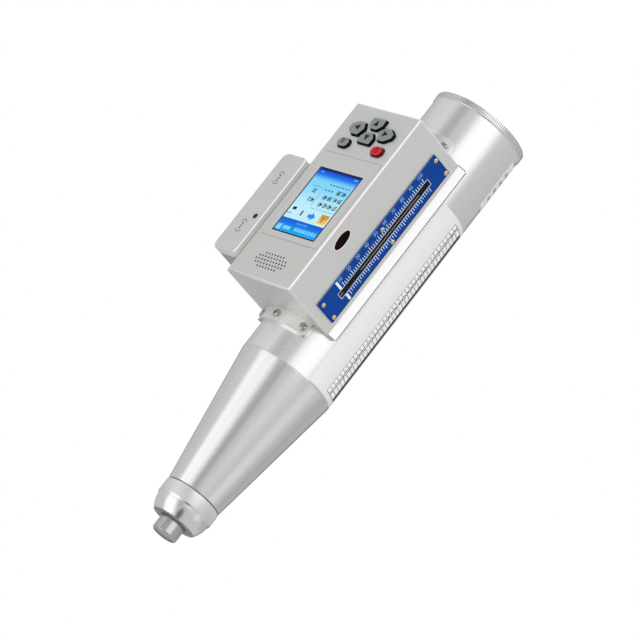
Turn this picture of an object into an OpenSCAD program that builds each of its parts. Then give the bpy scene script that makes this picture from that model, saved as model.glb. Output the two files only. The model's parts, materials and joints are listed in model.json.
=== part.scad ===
// Digital rebound hammer for testing concrete.
// +Z runs along the barrel to the plunger, and the origin is the centre of the rear cap's flat face.
// The display faces -Y, the scale faces -X and the battery holder sits on the +X side.
// The plunger is drawn pushed in, with the hammer mass resting against it.

/* [Barrel] */
// Outer radius of the barrel
barrel_r = 27; // [26:0.5:29]
// Wall of the barrel
barrel_wall = 3; // [2.6:0.1:3.2]
// Length of barrel in front of the struck end of the plunger
barrel_ahead = 21; // [18:1:30]

/* [Rear cap] */
// Length of the knurled flange behind the barrel
rear_flange = 5; // [4.2:0.2:6]
// How far the knurled flange stands proud of the barrel
rear_lip = 0.3; // [0.1:0.1:0.8]
// Length of the threaded spigot inside the barrel
rear_spigot = 8; // [6:0.5:9]
// Thickness of the cap's floor
rear_floor = 3.5; // [3:0.1:4]
// Radius of the trip screw
trip_r = 2; // [1.6:0.1:2.4]

/* [Guide] */
// Length of the return spring when the plunger is pushed in
return_packed = 11.5; // [11:0.5:16]
// Thickness of the guide disc
disc_t = 5; // [4:0.5:7]
// Radius of the guide bar
bar_r = 4; // [3.6:0.1:4.4]
// Distance of the pawl's pivot from the barrel's axis
pawl_x = 13.5; // [13:0.1:14.5]
// Radius of the pawl's pin
pawl_pin_r = 1.2; // [1:0.1:1.5]

/* [Hammer mass] */
// Flight of the mass, which is also the plunger's travel
stroke = 75; // [72:1:80]
// Gap between the mass and the barrel's bore
mass_gap = 2.8; // [2.4:0.1:4]
// Length of the thick body of the mass
mass_body = 28; // [26:1:34]
// Length of the spring seat in front of the body
mass_nose = 12; // [10:1:16]
// Radius of the spring seat
mass_nose_r = 12.3; // [11.5:0.1:12.6]
// Wire radius of the impact spring
impact_wire = 1; // [0.8:0.1:1.1]

/* [Nose] */
// Length of the cone in front of the guide sleeve's collar
sleeve_hold = 13.1; // [12:0.1:16]
// Radius of the cone at its front end
cone_tip_r = 15.8; // [15.4:0.1:17]
// Radius of the front cap's ring
cap_r = 15.9; // [15.5:0.1:17]
// Length of the front cap's ring
cap_ring = 8.2; // [8:0.2:11]
// Length of the front cap's domed end
cap_dome = 8.2; // [7:0.2:10]
// Radius of the front cap's flat face
cap_face_r = 12.5; // [11:0.1:13.5]

/* [Plunger] */
// Radius of the plunger
plunger_r = 7.1; // [6.5:0.1:7.5]
// Length of the plunger that shows in front of the cap
plunger_show = 9.3; // [8:0.1:14]
// Radius of the dome on the plunger's tip
tip_dome_r = 25; // [20:1:40]

/* [Instrument case] */
// How far each side of the case stands inside the barrel's side
case_narrow = 1.25; // [0:0.05:1.5]
// Distance from the barrel's axis to the display face
case_top = 51.6; // [51:0.2:56]
// Wall of the case
case_wall = 2; // [1.8:0.1:2.2]
// Height of the side's lower edge over the barrel's axis
side_foot = 14.6; // [14:0.1:15]
// Sideways spread of the skirt that meets the barrel
flare_out = 2.3; // [2:0.1:3]
// Depth of the skirt
flare_drop = 4.9; // [4.5:0.1:5.2]
// Chamfer of the case's edges
case_chamfer = 0.9; // [0.5:0.1:1.2]

/* [Saddle] */
// Length of the collar in front of the case and behind it
collar_len = 8; // [7:0.5:10]
// Thickness of the saddle
saddle_t = 2.4; // [2:0.1:2.6]
// Angle from the middle of the saddle to the end of a collar
collar_turn = 44; // [42:1:46]
// Angle between neighbouring saddle screws
screw_turn = 36; // [33:1:37]

/* [Scale] */
// Width of the scale plate
plate_w = 14.8; // [14.4:0.1:15.2]
// Thickness of the scale plate
plate_t = 0.7; // [0.5:0.1:1]
// Width of the slot in the scale plate
slot_w = 3.4; // [3:0.1:4]
// Distance from the display face down to the slot
slot_drop = 27.6; // [27.2:0.1:28]
// Radius of the rider's rod
rod_r = 1.25; // [1:0.05:1.4]

/* [Display] */
// Distance from the side of the case to the screen
lcd_side = 8.65; // [8:0.05:10]
// Distance from the side of the case to the display panel
panel_side = 2.15; // [1.5:0.05:3]
// Distance from the case's front to the display panel
panel_in = 25.8; // [25:0.2:26]

/* [Keys] */
// Length of the display face that the keys take up
key_field = 31.6; // [31:0.2:34]
// Height of the keys over the display face
key_rise = 1.7; // [1.2:0.1:2.2]
// Travel of a key
key_travel = 1; // [0.6:0.1:1.1]

/* [Battery holder] */
// Width of the battery holder
pack_w = 19.4; // [18:0.1:21]
// Length of the battery holder
pack_len = 64; // [62:0.5:66]
// Height of the battery holder
pack_h = 31; // [30:0.5:33]
// How far the battery lid stands over the display face
pack_rise = 2.4; // [2:0.1:4]
// Wall of the battery holder
pack_wall = 1.6; // [1.2:0.1:1.8]
// Travel of the battery lid
lid_travel = 8; // [6:0.5:9]

/* [Hidden] */
$fn = 72;

// Clearances and the overrun of every cut
overrun = 0.5;
press = 0.02;
run = 0.08;
gap = 0.3;
seat = 0.1;

// Spring tubes: rings in a curl and sides of the wire
curl_rings = 16;
wire_sides = 6;

// Rear cap and trip screw
rear_r = barrel_r + rear_lip;
rear_edge = 0.4;
rear_round = 1.6;
round_step = 15;
trip_blind = 1.2;
trip_gap = 0.7;
nut_t = 2.8;
nut_r = 2 * trip_r;

// Barrel
barrel_bore = barrel_r - barrel_wall;
spigot_wall = 4.5;
rear_bore = barrel_bore - spigot_wall;
trip_share = 0.477;
trip_x = trip_share * rear_bore;

// Guide disc, bar and pawl
disc_z = rear_floor + return_packed;
disc_front = disc_z + disc_t;
disc_r = barrel_bore - seat;
bar_back = 1;
ear_gap = 2.3;
ear_t = 2;
ear_r = 2;
ear_rise = 3.5;
pawl_z = disc_front + ear_rise;
pawl_t = 2 * ear_gap - 2 * gap;
pawl_arm = 2.6;
pawl_tail_t = 3;
pawl_tail_back = 2.8;
pawl_tail_z = disc_z - pawl_tail_back;
pawl_slot_x = 5.3;
pawl_slot_len = 6.7;
pawl_lug = 5;
pawl_lug_t = 1.8;
hook_t = 2.7;
hook_gap = 0.3;
tail_gap = 8;
tail_t = 3;
tail_r = 9;
tail_neck = 5;
tail_neck_r = 6.5;
hook_tip = tail_neck_r + gap;
pawl_spring_wire = 0.3;
pawl_spring_r = 1.1;
pawl_spring_len = 6.5;
pawl_spring_turns = 5;

// Return spring
return_wire = 0.7;
return_in = 3;
return_r = rear_bore - return_in;
return_turns = 5;

// Hammer mass
mass_z = disc_front + tail_gap + stroke;
neck_z = mass_z + tail_t;
body_z = neck_z + tail_neck;
nose_z = body_z + mass_body;
mass_front = nose_z + mass_nose;
flange_at_share = 18 / 28;
flange_z = body_z + flange_at_share * mass_body;
flange_t = 4;
mass_r = barrel_bore - mass_gap;
flange_gap = 1.1;
flange_r = barrel_bore - flange_gap;
mass_edge = 1;
impact_gap = 0.1;

// Plunger and the sleeve that guides it
plunger_z = mass_front + impact_gap;
head_len = 10;
head_r = 10;
bar_in = 25;
plunger_bore = 35;
tip_edge = 0.8;
stop_gap = 0.5;
sleeve_z = plunger_z + stroke + head_len + stop_gap;
skirt_len = 24.6;
sleeve_r = 11.7;
retaining_wire = 0.4;
retaining_r = 3.2;
retaining_turns = 7;

// Nose cone and front cap
seam_z = plunger_z + barrel_ahead;
cone_z = sleeve_z + sleeve_hold;
cone_len = cone_z - seam_z;
cone_spigot = 12;
cone_wide = 3;
cone_wall = 3.5;
cone_wide_r = barrel_bore - cone_wall;
spring_bore = 15.5;
neck_len = 5.4;
neck_r = 13.4;
cap_groove = 0.4;
cap_z = cone_z + cap_groove;
cap_dome_z = cap_z + cap_ring;
cap_front = cap_dome_z + cap_dome;
cap_edge = 0.8;
cap_chamfer_share = 0.45;
cap_chamfer_in_share = 0.75;
ring_t = 2.6;
felt_t = 3.4;
felt_r = 10;
split_w = 0.6;
tip_z = cap_front + plunger_show;
impact_r = (mass_nose_r + gap + impact_wire) / cos(180 / curl_rings);
impact_lap = 6;
impact_turns = 16;

// Rider and its rod
case_w = 2 * (barrel_r - case_narrow);
half_w = case_w / 2;
// How much farther out the battery side stands than the scale side
far_out = 1.7;
far_w = half_w + far_out;
finger_w = 5.6;
rider_z = flange_z - gap - finger_w / 2;
rider_len = 10;
rider_w = 4.7;
rider_h = 6;
finger_t = 3;
rod_in = 2.75;
rod_x = -(half_w - case_wall - rod_in);
rod_y = -(case_top - slot_drop);
rod_turn = atan2(-rod_x, -rod_y);
rod_reach = norm([rod_x, rod_y]);
finger_gap = 0.4;
finger_tip = mass_r + finger_gap;
arm_slot_play = 1;
arm_slot_w = finger_t + 2 * arm_slot_play;
arm_slot_over = 1.5;
wiper_h = 0.6;
sensor_t = 1.2;
sensor_w = 6;
sensor_rise = 2.5;

// Instrument case
case_ahead = 22.3;
case_front = rider_z + case_ahead;
rider_spare = 1.2;
end_gap = 0.1;
lug_len = 8.2;
case_len = case_ahead + stroke + rider_len / 2 + rider_spare + lug_len + end_gap + case_wall;
case_rear = case_front - case_len;
seat_gap = 0.12;
seat_r = barrel_r + seat_gap;
foot_y = -(side_foot - flare_drop);
top_y = -case_top;
ceiling_y = top_y + case_wall;

// Saddle with a lug at each end, which carries the case, the board and the rod
saddle_r = barrel_r + saddle_t;
saddle_z = case_rear - collar_len;
saddle_len = case_len + 2 * collar_len;
bed_turn = 30;
collar_round = 2.6;
bed_play_turn = 0.5;
lug_w = case_w - 2 * case_wall - 2 * end_gap;
lug_foot = 16.6;
lug_front = case_front - case_wall - end_gap - lug_len;
lug_rear = case_rear + case_wall + end_gap;
board_drop = 9.06;
board_rest = case_top - case_wall - board_drop;
saddle_screw_r = 1.25;
saddle_head_r = 2.3;
saddle_head_t = 1.2;
bit_share = 0.6;

// Screws of the case
case_screw_r = 1.2;
case_head_r = 2.2;
case_screw_len = 7;
case_screw_y = -30;

// Scale plate, its window and its screws
plate_in = 5.8;
plate_back = 7;
plate_len = case_len - plate_in - plate_back;
plate_drop = 26.9;
plate_mid_y = top_y + plate_drop;
plate_z = case_front - plate_in - plate_len;
slot_in = 18.2;
slot_over = 1.8;
slot_len = stroke + slot_over;
slot_z = case_front - slot_in - slot_len;
window_w = 7.2;
window_over = 3.2;
window_t = 0.95;
plate_screw_r = 0.8;
plate_head_r = 1.3;
plate_head_t = 0.7;
plate_screw_len = 5;
plate_screw_shares = [0.018, 0.476, 0.973];
plate_screw_edge = 2.5;
plate_screw_half = plate_w / 2 - plate_screw_edge;

// Infrared window and its emitter
ir_in = 39;
ir_drop = 7.6;
ir_len = 12.6;
ir_w = 5.6;
ir_lip = 0.9;
ir_proud = 0.15;
emitter = [2, 3.2, 6];

// Display panel and screen
panel_t = 0.5;
panel_r = 1.5;
panel_w = case_w - 2 * panel_side;
panel_len = case_len - panel_in - key_field;
lcd_in = 30.2;
lcd_back = 42.4;
lcd_w = case_w - 2 * lcd_side;
lcd_len = case_len - lcd_in - lcd_back;
lcd_frame = 2.2;
lcd_z = case_front - lcd_in - lcd_len;
panel_z = case_front - panel_in - panel_len;

// Board
board_t = 1.6;
board_y = -board_rest;
board_inset = 1.7;
board_screw_r = 1.1;
board_head_r = 2;
board_head_t = 1.4;
board_screw_len = 6;
board_screw_in = 4.65;
board_screw_x = lug_w / 2 - board_screw_in;

// Keys
nav_in = 15;
nav_z = case_rear + nav_in;
oval_in = 25.4;
oval_z = case_rear + oval_in;
side_key_share = 0.466;
end_key_share = 0.392;
oval_share = 1.15;
oval_w_share = 0.767;
oval_d_share = 0.483;
side_key_x = side_key_share * half_w;
end_key_z = side_key_x * end_key_share;
oval_x = side_key_x * oval_share;
oval_w = side_key_x * oval_w_share;
oval_d = side_key_x * oval_d_share;
key_corner = 0.75;
corner_steps = 4;
key_brim = 0.7;
brim_t = 0.8;
stem_r = 1.6;
stem_len = 3;
guide_t = 1;
guide_side = 1.35;
guide_w = case_w - 2 * case_wall - 2 * guide_side;
guide_len = 32;
guide_rim = 1.2;
switch = [6, 6, 2.2];

// Speaker behind a round-holed grille
speaker_in = 11.9;
speaker_x = 1;
speaker = [28, 16, 5];
magnet_r = 6;
magnet_t = 2.2;
hole_r = 0.62;
hole_pitch = 2.4;
hole_rows = [7, 10, 11, 10, 7];

// Battery holder
pack_seat = 0.05;
pack_x = far_w + pack_seat;
pack_in = 8.9;
pack_front = case_front - pack_in;
pack_z = pack_front - pack_len;
pack_top = -(case_top + pack_rise);
lid_t = 4.4;
lid_y = pack_top + lid_t;
lid_corner = 4;
lid_edge = 0.5;
lid_gap = 0.45;
rib_t = 1.2;
rib_h = 3;
cell_w = 10.4;
cell_h = 20;
cell_len = 54;
cell_corner = 2;
contact_w = 3;
contact_t = 0.4;
lamp_r = 1.6;
lamp_x = 5.4;
lamp_in = 23.8;
pack_screw_r = 1;
pack_head_r = 2;
pack_head_t = 1.2;
pack_screw_len = 4.2;
pack_screw_drop = 9;
pack_screw_in = 10;

// Lock button on the side away from the scale
lock_ahead = 4;
lock_z = disc_front + lock_ahead;
lock_barrel_r = 4.5;
lock_flange_r = 7;
lock_rise = 5.4;
lock_floor = 0.6;
lock_head_r = 5;
lock_head_t = 3.4;
lock_stem_r = 2;
lock_foot_r = 3;
lock_foot_t = 1;
lock_wire = 0.3;
lock_spring_r = 3.6;
lock_turns = 3;
lock_show = barrel_r + lock_rise;
lock_foot_x = barrel_bore + seat;

// Printed foil labels on the barrel
label_t = 0.12;
label_r = barrel_r + press;
table_from_turn = 74;
table_to_turn = 166;
table_in = 1;
table_back = 15.9;
tag_from_turn = 119;
tag_to_turn = 159;
tag_z = 9.2;
tag_len = 29;
table_len = seam_z - table_in - tag_z - tag_len - table_back;

// A point of a ring of wire: i counts rings along the coil and k sides round the wire
function coil_point(r, wire, len, turns, i, k) =
    let (n = turns * curl_rings,
         a = 360 * i / curl_rings,
         b = 360 * k / wire_sides,
         out = r + wire * cos(b))
    [out * cos(a), out * sin(a), wire + (len - 2 * wire) * i / n + wire * sin(b)];

// One unbroken coil along +Z from z = 0 to z = len
module coil(r, wire, len, turns) {
    n = turns * curl_rings;
    points = [for (i = [0:n]) for (k = [0:wire_sides - 1]) coil_point(r, wire, len, turns, i, k)];
    walls = [for (i = [0:n - 1]) for (k = [0:wire_sides - 1])
        let (m = (k + 1) % wire_sides, a = i * wire_sides)
        each [[a + k, a + m, a + wire_sides + k], [a + m, a + wire_sides + m, a + wire_sides + k]]];
    first = [for (k = [1:wire_sides - 2]) [0, k + 1, k]];
    last = [for (k = [1:wire_sides - 2]) [0, k, k + 1] + n * wire_sides * [1, 1, 1]];
    echo(coil_gap = (len - 2 * wire) / turns - 2 * wire);
    polyhedron(points, concat(walls, first, last));
}

// A tube along +Z
module tube(z, len, outer, inner) {
    translate([0, 0, z]) difference() {
        cylinder(h = len, r = outer);
        translate([0, 0, -overrun]) cylinder(h = len + 2 * overrun, r = inner);
    }
}

// A round bar along +Z with chamfered ends
module bar(z, len, r, edge) {
    translate([0, 0, z]) rotate_extrude() polygon([
        [0, 0], [r - edge, 0], [r, edge], [r, len - edge], [r - edge, len], [0, len]]);
}

// Part of a tube, from one angle to another measured from the display side towards the scale
module arc(z, len, inner, outer, from, to) {
    rotate([0, 0, -90 - to]) rotate_extrude(angle = to - from)
        translate([inner, z]) square([outer - inner, len]);
}

// Places something on the display face, standing up from it
module on_top(x, z, y = top_y) {
    translate([x, y, z]) rotate([90, 0, 0]) children();
}

// Places something on the scale side, standing out from it, with its own X along the barrel
module on_side(y, z, x = -half_w) {
    translate([x, y, z]) rotate([0, -90, 0]) children();
}

// Places something on the battery side, standing out from it, with its own X against the barrel
module on_far_side(y, z, x = far_w) {
    translate([x, y, z]) rotate([0, 90, 0]) children();
}

// A rectangle with round corners
module round_rect(w, h, r) {
    square([w - 2 * r, h], center = true);
    square([w, h - 2 * r], center = true);
    for (x = [-1, 1]) for (y = [-1, 1])
        translate([x * (w / 2 - r), y * (h / 2 - r)]) circle(r);
}

// A slot with round ends along X
module oval(len, w) {
    scale([len / w, 1]) circle(w / 2);
}

module obround(len, w) {
    square([len - w, w], center = true);
    for (x = [-1, 1]) translate([x * (len - w) / 2, 0]) circle(w / 2);
}

// A screw whose head rests on z = 0, with its shank going down
module screw(r, len, head_r, head_t) {
    translate([0, 0, -len]) cylinder(h = len, r = r);
    difference() {
        cylinder(h = head_t, r = head_r);
        for (a = [0, 90]) rotate([0, 0, a]) translate([0, 0, head_t])
            cube([2 * head_r * bit_share, head_t * bit_share / 2, 2 * head_t * bit_share], center = true);
    }
}

// Places of the six saddle screws
module at_saddle_screws() {
    for (z = [case_rear - collar_len / 2, case_front + collar_len / 2])
        for (k = [-1, 0, 1])
            rotate([0, 0, -k * screw_turn]) on_top(0, z, -saddle_r) children();
}

module at_case_screws() {
    for (z = [lug_rear + lug_len / 2, lug_front + lug_len / 2])
        on_far_side(case_screw_y, z) children();
}

module at_plate_screws() {
    for (share = plate_screw_shares) for (s = [-1, 1])
        on_side(rod_y + s * plate_screw_half, plate_z + share * plate_len) children();
}

module at_board_screws() {
    for (z = [lug_rear + lug_len / 2, lug_front + lug_len / 2])
        for (s = [-1, 1]) on_top(s * board_screw_x, z, board_y - board_t) children();
}

module at_pack_screws() {
    for (z = [pack_z + pack_screw_in, pack_front - pack_screw_in])
        on_far_side(lid_y + pack_screw_drop, z, pack_x + pack_wall) children();
}

// Barrel parts

module barrel() color("silver") difference() {
    tube(rear_flange, seam_z - rear_flange, barrel_r, barrel_bore);
    rotate([0, 0, -rod_turn])
        translate([-arm_slot_w / 2, -barrel_r - overrun, rider_z - stroke - finger_w / 2 - arm_slot_over])
        cube([arm_slot_w, barrel_wall + 2 * barrel_wall, stroke + finger_w + 2 * arm_slot_over]);
    at_saddle_screws() translate([0, 0, -saddle_t - barrel_wall - overrun])
        cylinder(h = barrel_wall + 2 * overrun, r = saddle_screw_r + press);
    at_lock() translate([0, 0, barrel_bore - overrun])
        cylinder(h = barrel_wall + 2 * overrun, r = lock_barrel_r + press);
}

module table_label() color("gainsboro")
    arc(seam_z - table_in - table_len, table_len, label_r, label_r + label_t, table_from_turn, table_to_turn);

module rear_label() color("white")
    arc(tag_z, tag_len, label_r, label_r + label_t, tag_from_turn, tag_to_turn);

module rear_cap() color("gainsboro") difference() {
    union() {
        rotate_extrude() polygon(concat(
            [for (a = [0:round_step:90]) [rear_r - rear_round * (1 - sin(a)), rear_round * (1 - cos(a))]],
            [[rear_r, rear_flange - rear_edge], [rear_r - rear_edge, rear_flange], [0, rear_flange], [0, 0]]));
        translate([0, 0, rear_flange]) cylinder(h = rear_spigot, r = barrel_bore - press);
    }
    translate([0, 0, rear_floor]) cylinder(h = rear_flange + rear_spigot, r = rear_bore);
    translate([trip_x, 0, trip_blind]) cylinder(h = rear_floor, r = trip_r + press);
}

module trip_screw() color("dimgray")
    translate([trip_x, 0, 0])
    bar(trip_blind + press, pawl_tail_z - trip_gap - trip_blind, trip_r, trip_r / 4);

module trip_lock_nut() color("dimgray") translate([trip_x, 0, rear_floor]) difference() {
    cylinder(h = nut_t, r = nut_r, $fn = 6);
    translate([0, 0, -overrun]) cylinder(h = nut_t + 2 * overrun, r = trip_r + press);
}

module return_spring() color("slategray") translate([0, 0, rear_floor + seat])
    coil(return_r, return_wire, return_packed - 2 * seat, return_turns);

// Guide disc, bar and pawl

module guide_disc() color("darkkhaki") difference() {
    union() {
        bar(disc_z, disc_t, disc_r, mass_edge);
        for (s = [-1, 1]) translate([pawl_x, s * (ear_gap + ear_t / 2), 0]) pawl_ear();
    }
    translate([0, 0, disc_z - overrun]) cylinder(h = disc_t + 2 * overrun, r = bar_r + press);
    translate([pawl_slot_x, -ear_gap, disc_z - overrun])
        cube([pawl_slot_len, 2 * ear_gap, disc_t + 2 * overrun]);
    pawl_axis(pawl_pin_r + press, 2 * (ear_gap + ear_t) + 2 * overrun);
}

module pawl_ear() {
    translate([0, ear_t / 2, pawl_z]) rotate([90, 0, 0]) cylinder(h = ear_t, r = ear_r);
    translate([-ear_r, -ear_t / 2, disc_front - disc_t / 2]) cube([2 * ear_r, ear_t, ear_rise + disc_t / 2]);
}

// A round bar along the pawl's pivot
module pawl_axis(r, len) {
    translate([pawl_x, len / 2, pawl_z]) rotate([90, 0, 0]) cylinder(h = len, r = r);
}

module guide_bar() color("lightsteelblue")
    bar(disc_z - bar_back, plunger_z + bar_in - disc_z + bar_back, bar_r, bar_r / 4);

// The arm reaches forward to hook the tail of the mass, the tail reaches back to the trip screw,
// and a lug on the outside takes the push of the pawl's spring
module pawl() color("slategray") difference() {
    hook_z = disc_front + tail_gap + tail_t + hook_gap;
    tail_x = trip_x - pawl_tail_t / 2;
    rotate([90, 0, 0]) linear_extrude(pawl_t, center = true) {
        translate([pawl_x, pawl_z]) circle(ear_r);
        translate([pawl_x - pawl_arm / 2, pawl_z]) square([pawl_arm, hook_z + hook_t - pawl_z]);
        translate([hook_tip, hook_z]) square([pawl_x - hook_tip, hook_t]);
        translate([tail_x, pawl_z - pawl_arm / 2]) square([pawl_x - tail_x, pawl_arm]);
        translate([tail_x, pawl_tail_z]) square([pawl_tail_t, pawl_z - pawl_tail_z]);
        translate([pawl_x, disc_front + pawl_spring_len + 2 * seat]) square([pawl_lug, pawl_lug_t]);
    }
    pawl_axis(pawl_pin_r + run, pawl_t + 2 * overrun);
}

module pawl_pin() color("gray") pawl_axis(pawl_pin_r, 2 * (ear_gap + ear_t));

// The spring stands on the disc, outside the pivot
module pawl_spring() color("silver")
    translate([pawl_x + pawl_lug - pawl_spring_r - pawl_spring_wire, 0, disc_front + seat])
    coil(pawl_spring_r, pawl_spring_wire, pawl_spring_len, pawl_spring_turns);

// Hammer mass and impact spring

module hammer_mass() color("gray") difference() {
    union() {
        translate([0, 0, mass_z]) cylinder(h = tail_t, r = tail_r);
        translate([0, 0, mass_z]) cylinder(h = tail_t + tail_neck + mass_edge, r = tail_neck_r);
        bar(body_z, mass_body, mass_r, mass_edge);
        translate([0, 0, flange_z]) cylinder(h = flange_t, r = flange_r);
        translate([0, 0, nose_z - mass_edge]) cylinder(h = mass_nose + mass_edge, r = mass_nose_r);
    }
    translate([0, 0, mass_z - overrun]) cylinder(h = mass_front - mass_z + 2 * overrun, r = bar_r + run);
}

module impact_spring() color("slategray") translate([0, 0, mass_front - impact_lap])
    coil(impact_r, impact_wire, sleeve_z - skirt_len + impact_lap - mass_front + impact_lap, impact_turns);

// Nose parts

module nose_cone() color("silver") difference() {
    union() {
        translate([0, 0, seam_z - cone_spigot]) cylinder(h = cone_spigot + overrun, r = barrel_bore - press);
        translate([0, 0, seam_z]) cylinder(h = cone_len, r1 = barrel_r, r2 = cone_tip_r);
        translate([0, 0, cone_z - overrun]) cylinder(h = neck_len + overrun, r = neck_r);
    }
    translate([0, 0, seam_z - cone_spigot - overrun])
        cylinder(h = cone_spigot + cone_wide + overrun, r = cone_wide_r);
    translate([0, 0, seam_z]) cylinder(h = sleeve_z - seam_z, r = spring_bore);
    translate([0, 0, sleeve_z - overrun]) cylinder(h = cone_z, r = sleeve_r + press);
}

module guide_sleeve() color("darkkhaki") difference() {
    union() {
        translate([0, 0, sleeve_z]) cylinder(h = cone_z + neck_len - sleeve_z, r = sleeve_r);
        translate([0, 0, sleeve_z - skirt_len]) cylinder(h = skirt_len, r = mass_nose_r);
        translate([0, 0, sleeve_z - neck_len]) cylinder(h = neck_len, r = spring_bore - press);
    }
    translate([0, 0, sleeve_z - skirt_len - overrun])
        cylinder(h = skirt_len + overrun, r = head_r + gap);
    translate([0, 0, sleeve_z - overrun]) cylinder(h = cone_z, r = plunger_r + run);
}

module split_ring() color("slategray") difference() {
    tube(cone_z + neck_len + seat, ring_t, neck_r - gap, plunger_r + gap);
    translate([-split_w / 2, -neck_r, cone_z]) cube([split_w, 2 * neck_r, cap_ring]);
}

module felt_washer() color("saddlebrown")
    tube(cone_z + neck_len + 2 * seat + ring_t, felt_t - seat, felt_r - seat, plunger_r + gap);

module front_cap() color("lightgray") difference() {
    rotate_extrude() polygon([
        [0, cap_z], [cap_r - cap_edge, cap_z], [cap_r, cap_z + cap_edge],
        [cap_r, cap_dome_z], [cap_r - cap_edge, cap_dome_z + cap_edge],
        [cap_face_r + (cap_r - cap_face_r) * cap_chamfer_in_share, cap_dome_z + cap_dome * cap_chamfer_share],
        [cap_face_r, cap_front], [0, cap_front]]);
    translate([0, 0, cap_z - overrun])
        cylinder(h = neck_len + seat + ring_t + seat - cap_groove + overrun, r = neck_r + press);
    translate([0, 0, cap_z]) cylinder(h = neck_len + 2 * seat + ring_t + felt_t - cap_groove, r = felt_r);
    translate([0, 0, cap_z]) cylinder(h = cap_front, r = plunger_r + gap);
}

// The tip is a shallow dome inside a chamfer
module plunger() color("gainsboro") difference() {
    intersection() {
        union() {
            bar(plunger_z, tip_z - plunger_z, plunger_r, tip_edge);
            bar(plunger_z, head_len, head_r, mass_edge);
        }
        union() {
            translate([0, 0, tip_z - tip_dome_r]) sphere(tip_dome_r);
            translate([0, 0, plunger_z]) cylinder(h = cap_front - plunger_z, r = head_r + overrun);
        }
    }
    translate([0, 0, plunger_z - overrun]) cylinder(h = plunger_bore + overrun, r = bar_r + run);
}

module retaining_spring() color("silver") translate([0, 0, plunger_z + bar_in + seat])
    coil(retaining_r, retaining_wire, plunger_bore - bar_in - 2 * seat, retaining_turns);

// Lock button

// Turns +Z to +X at the button's place
module at_lock() translate([0, 0, lock_z]) rotate([0, 90, 0]) children();

module lock_bush() color("silver") difference() {
    union() {
        at_lock() translate([0, 0, barrel_bore]) cylinder(h = lock_show - barrel_bore, r = lock_barrel_r);
        difference() {
            at_lock() cylinder(h = lock_show, r = lock_flange_r);
            translate([0, 0, lock_z - 2 * lock_flange_r])
                cylinder(h = 4 * lock_flange_r, r = barrel_r + press);
        }
    }
    at_lock() translate([0, 0, barrel_r + lock_floor])
        cylinder(h = lock_show, r = lock_head_r + run);
    at_lock() cylinder(h = lock_show, r = lock_stem_r + run);
    at_lock() cylinder(h = lock_foot_x + lock_foot_t + gap, r = lock_foot_r + gap);
}

module lock_button() color("dimgray") at_lock() {
    bar(lock_show - gap, lock_head_t, lock_head_r, tip_edge);
    translate([0, 0, lock_foot_x]) cylinder(h = lock_show - lock_foot_x, r = lock_stem_r);
    translate([0, 0, lock_foot_x]) cylinder(h = lock_foot_t, r = lock_foot_r);
}

module lock_spring() color("silver") at_lock() translate([0, 0, barrel_r + lock_floor + seat])
    coil(lock_spring_r, lock_wire, lock_rise - lock_floor - gap - 2 * seat, lock_turns);

// Saddle and case

// What the collars' ends lose at their outer corners, as two flats each
module collar_corners() {
    near = collar_round * [cos(round_step), sin(round_step)];
    middle = collar_round * [cos(45), sin(45)];
    out = 2 * near - middle;
    for (s = [-1, 1]) for (e = [-1, 1])
        rotate([0, 0, s * collar_turn]) translate([0, 0, saddle_z + (1 + e) * saddle_len / 2])
        rotate([90, 0, 0]) translate([-s * collar_round, -e * collar_round, barrel_bore])
        linear_extrude(saddle_r + overrun - barrel_bore)
        polygon([for (p = [out, middle, [out[1], out[0]], [out[0], out[0]]]) [s * p[0], e * p[1]]]);
}

module mount_saddle() color("gainsboro") difference() {
    union() {
        difference() {
            translate([0, 0, saddle_z]) cylinder(h = saddle_len, r = saddle_r);
            arc(case_rear, case_len, barrel_bore, saddle_r + overrun, bed_turn, 360 - bed_turn);
            arc(saddle_z - overrun, saddle_len + 2 * overrun, barrel_bore, saddle_r + overrun,
                collar_turn, 360 - collar_turn);
            collar_corners();
        }
        for (z = [lug_rear, lug_front])
            translate([-lug_w / 2, -board_rest, z]) cube([lug_w + far_out, board_rest - lug_foot, lug_len]);
    }
    translate([0, 0, saddle_z - overrun]) cylinder(h = saddle_len + 2 * overrun, r = barrel_r + press);
    at_saddle_screws() translate([0, 0, -saddle_t - overrun])
        cylinder(h = saddle_t + 2 * overrun, r = saddle_screw_r + press);
    at_case_screws() translate([0, 0, -case_screw_len - overrun])
        cylinder(h = case_screw_len + 2 * overrun, r = case_screw_r + press);
    at_plate_screws() translate([0, 0, -plate_screw_len])
        cylinder(h = plate_screw_len, r = plate_screw_r + press);
    at_board_screws() translate([0, 0, -board_screw_len - overrun])
        cylinder(h = board_screw_len + overrun, r = board_screw_r + press);
    translate([rod_x, rod_y, case_rear]) cylinder(h = case_len, r = rod_r + press);
}

module saddle_screws() color("silver")
    at_saddle_screws() translate([0, 0, press])
        screw(saddle_screw_r, saddle_t + barrel_wall, saddle_head_r, saddle_head_t);

// Corners of one side of the case's cross section, from the display face to the foot
function case_corners(w) = [
    [w - case_chamfer, top_y], [w, top_y + case_chamfer],
    [w, -side_foot], [w + flare_out, foot_y]];

// The case as a solid block, closed across the barrel
module case_block() difference() {
    edge = case_chamfer * sqrt(2);
    upright = case_top - side_foot;
    scale_side = case_corners(half_w);
    translate([0, 0, case_rear]) linear_extrude(case_len)
        polygon(concat(case_corners(far_w), [for (i = [3:-1:0]) [-scale_side[i][0], scale_side[i][1]]]));
    for (z = [case_rear, case_front]) {
        translate([0, top_y, z]) rotate([45, 0, 0]) cube([2 * case_w, edge, edge], center = true);
        for (x = [-half_w, far_w]) translate([x, -side_foot - overrun - upright / 2, z]) rotate([0, 45, 0])
            cube([edge, upright, edge], center = true);
    }
}

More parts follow.
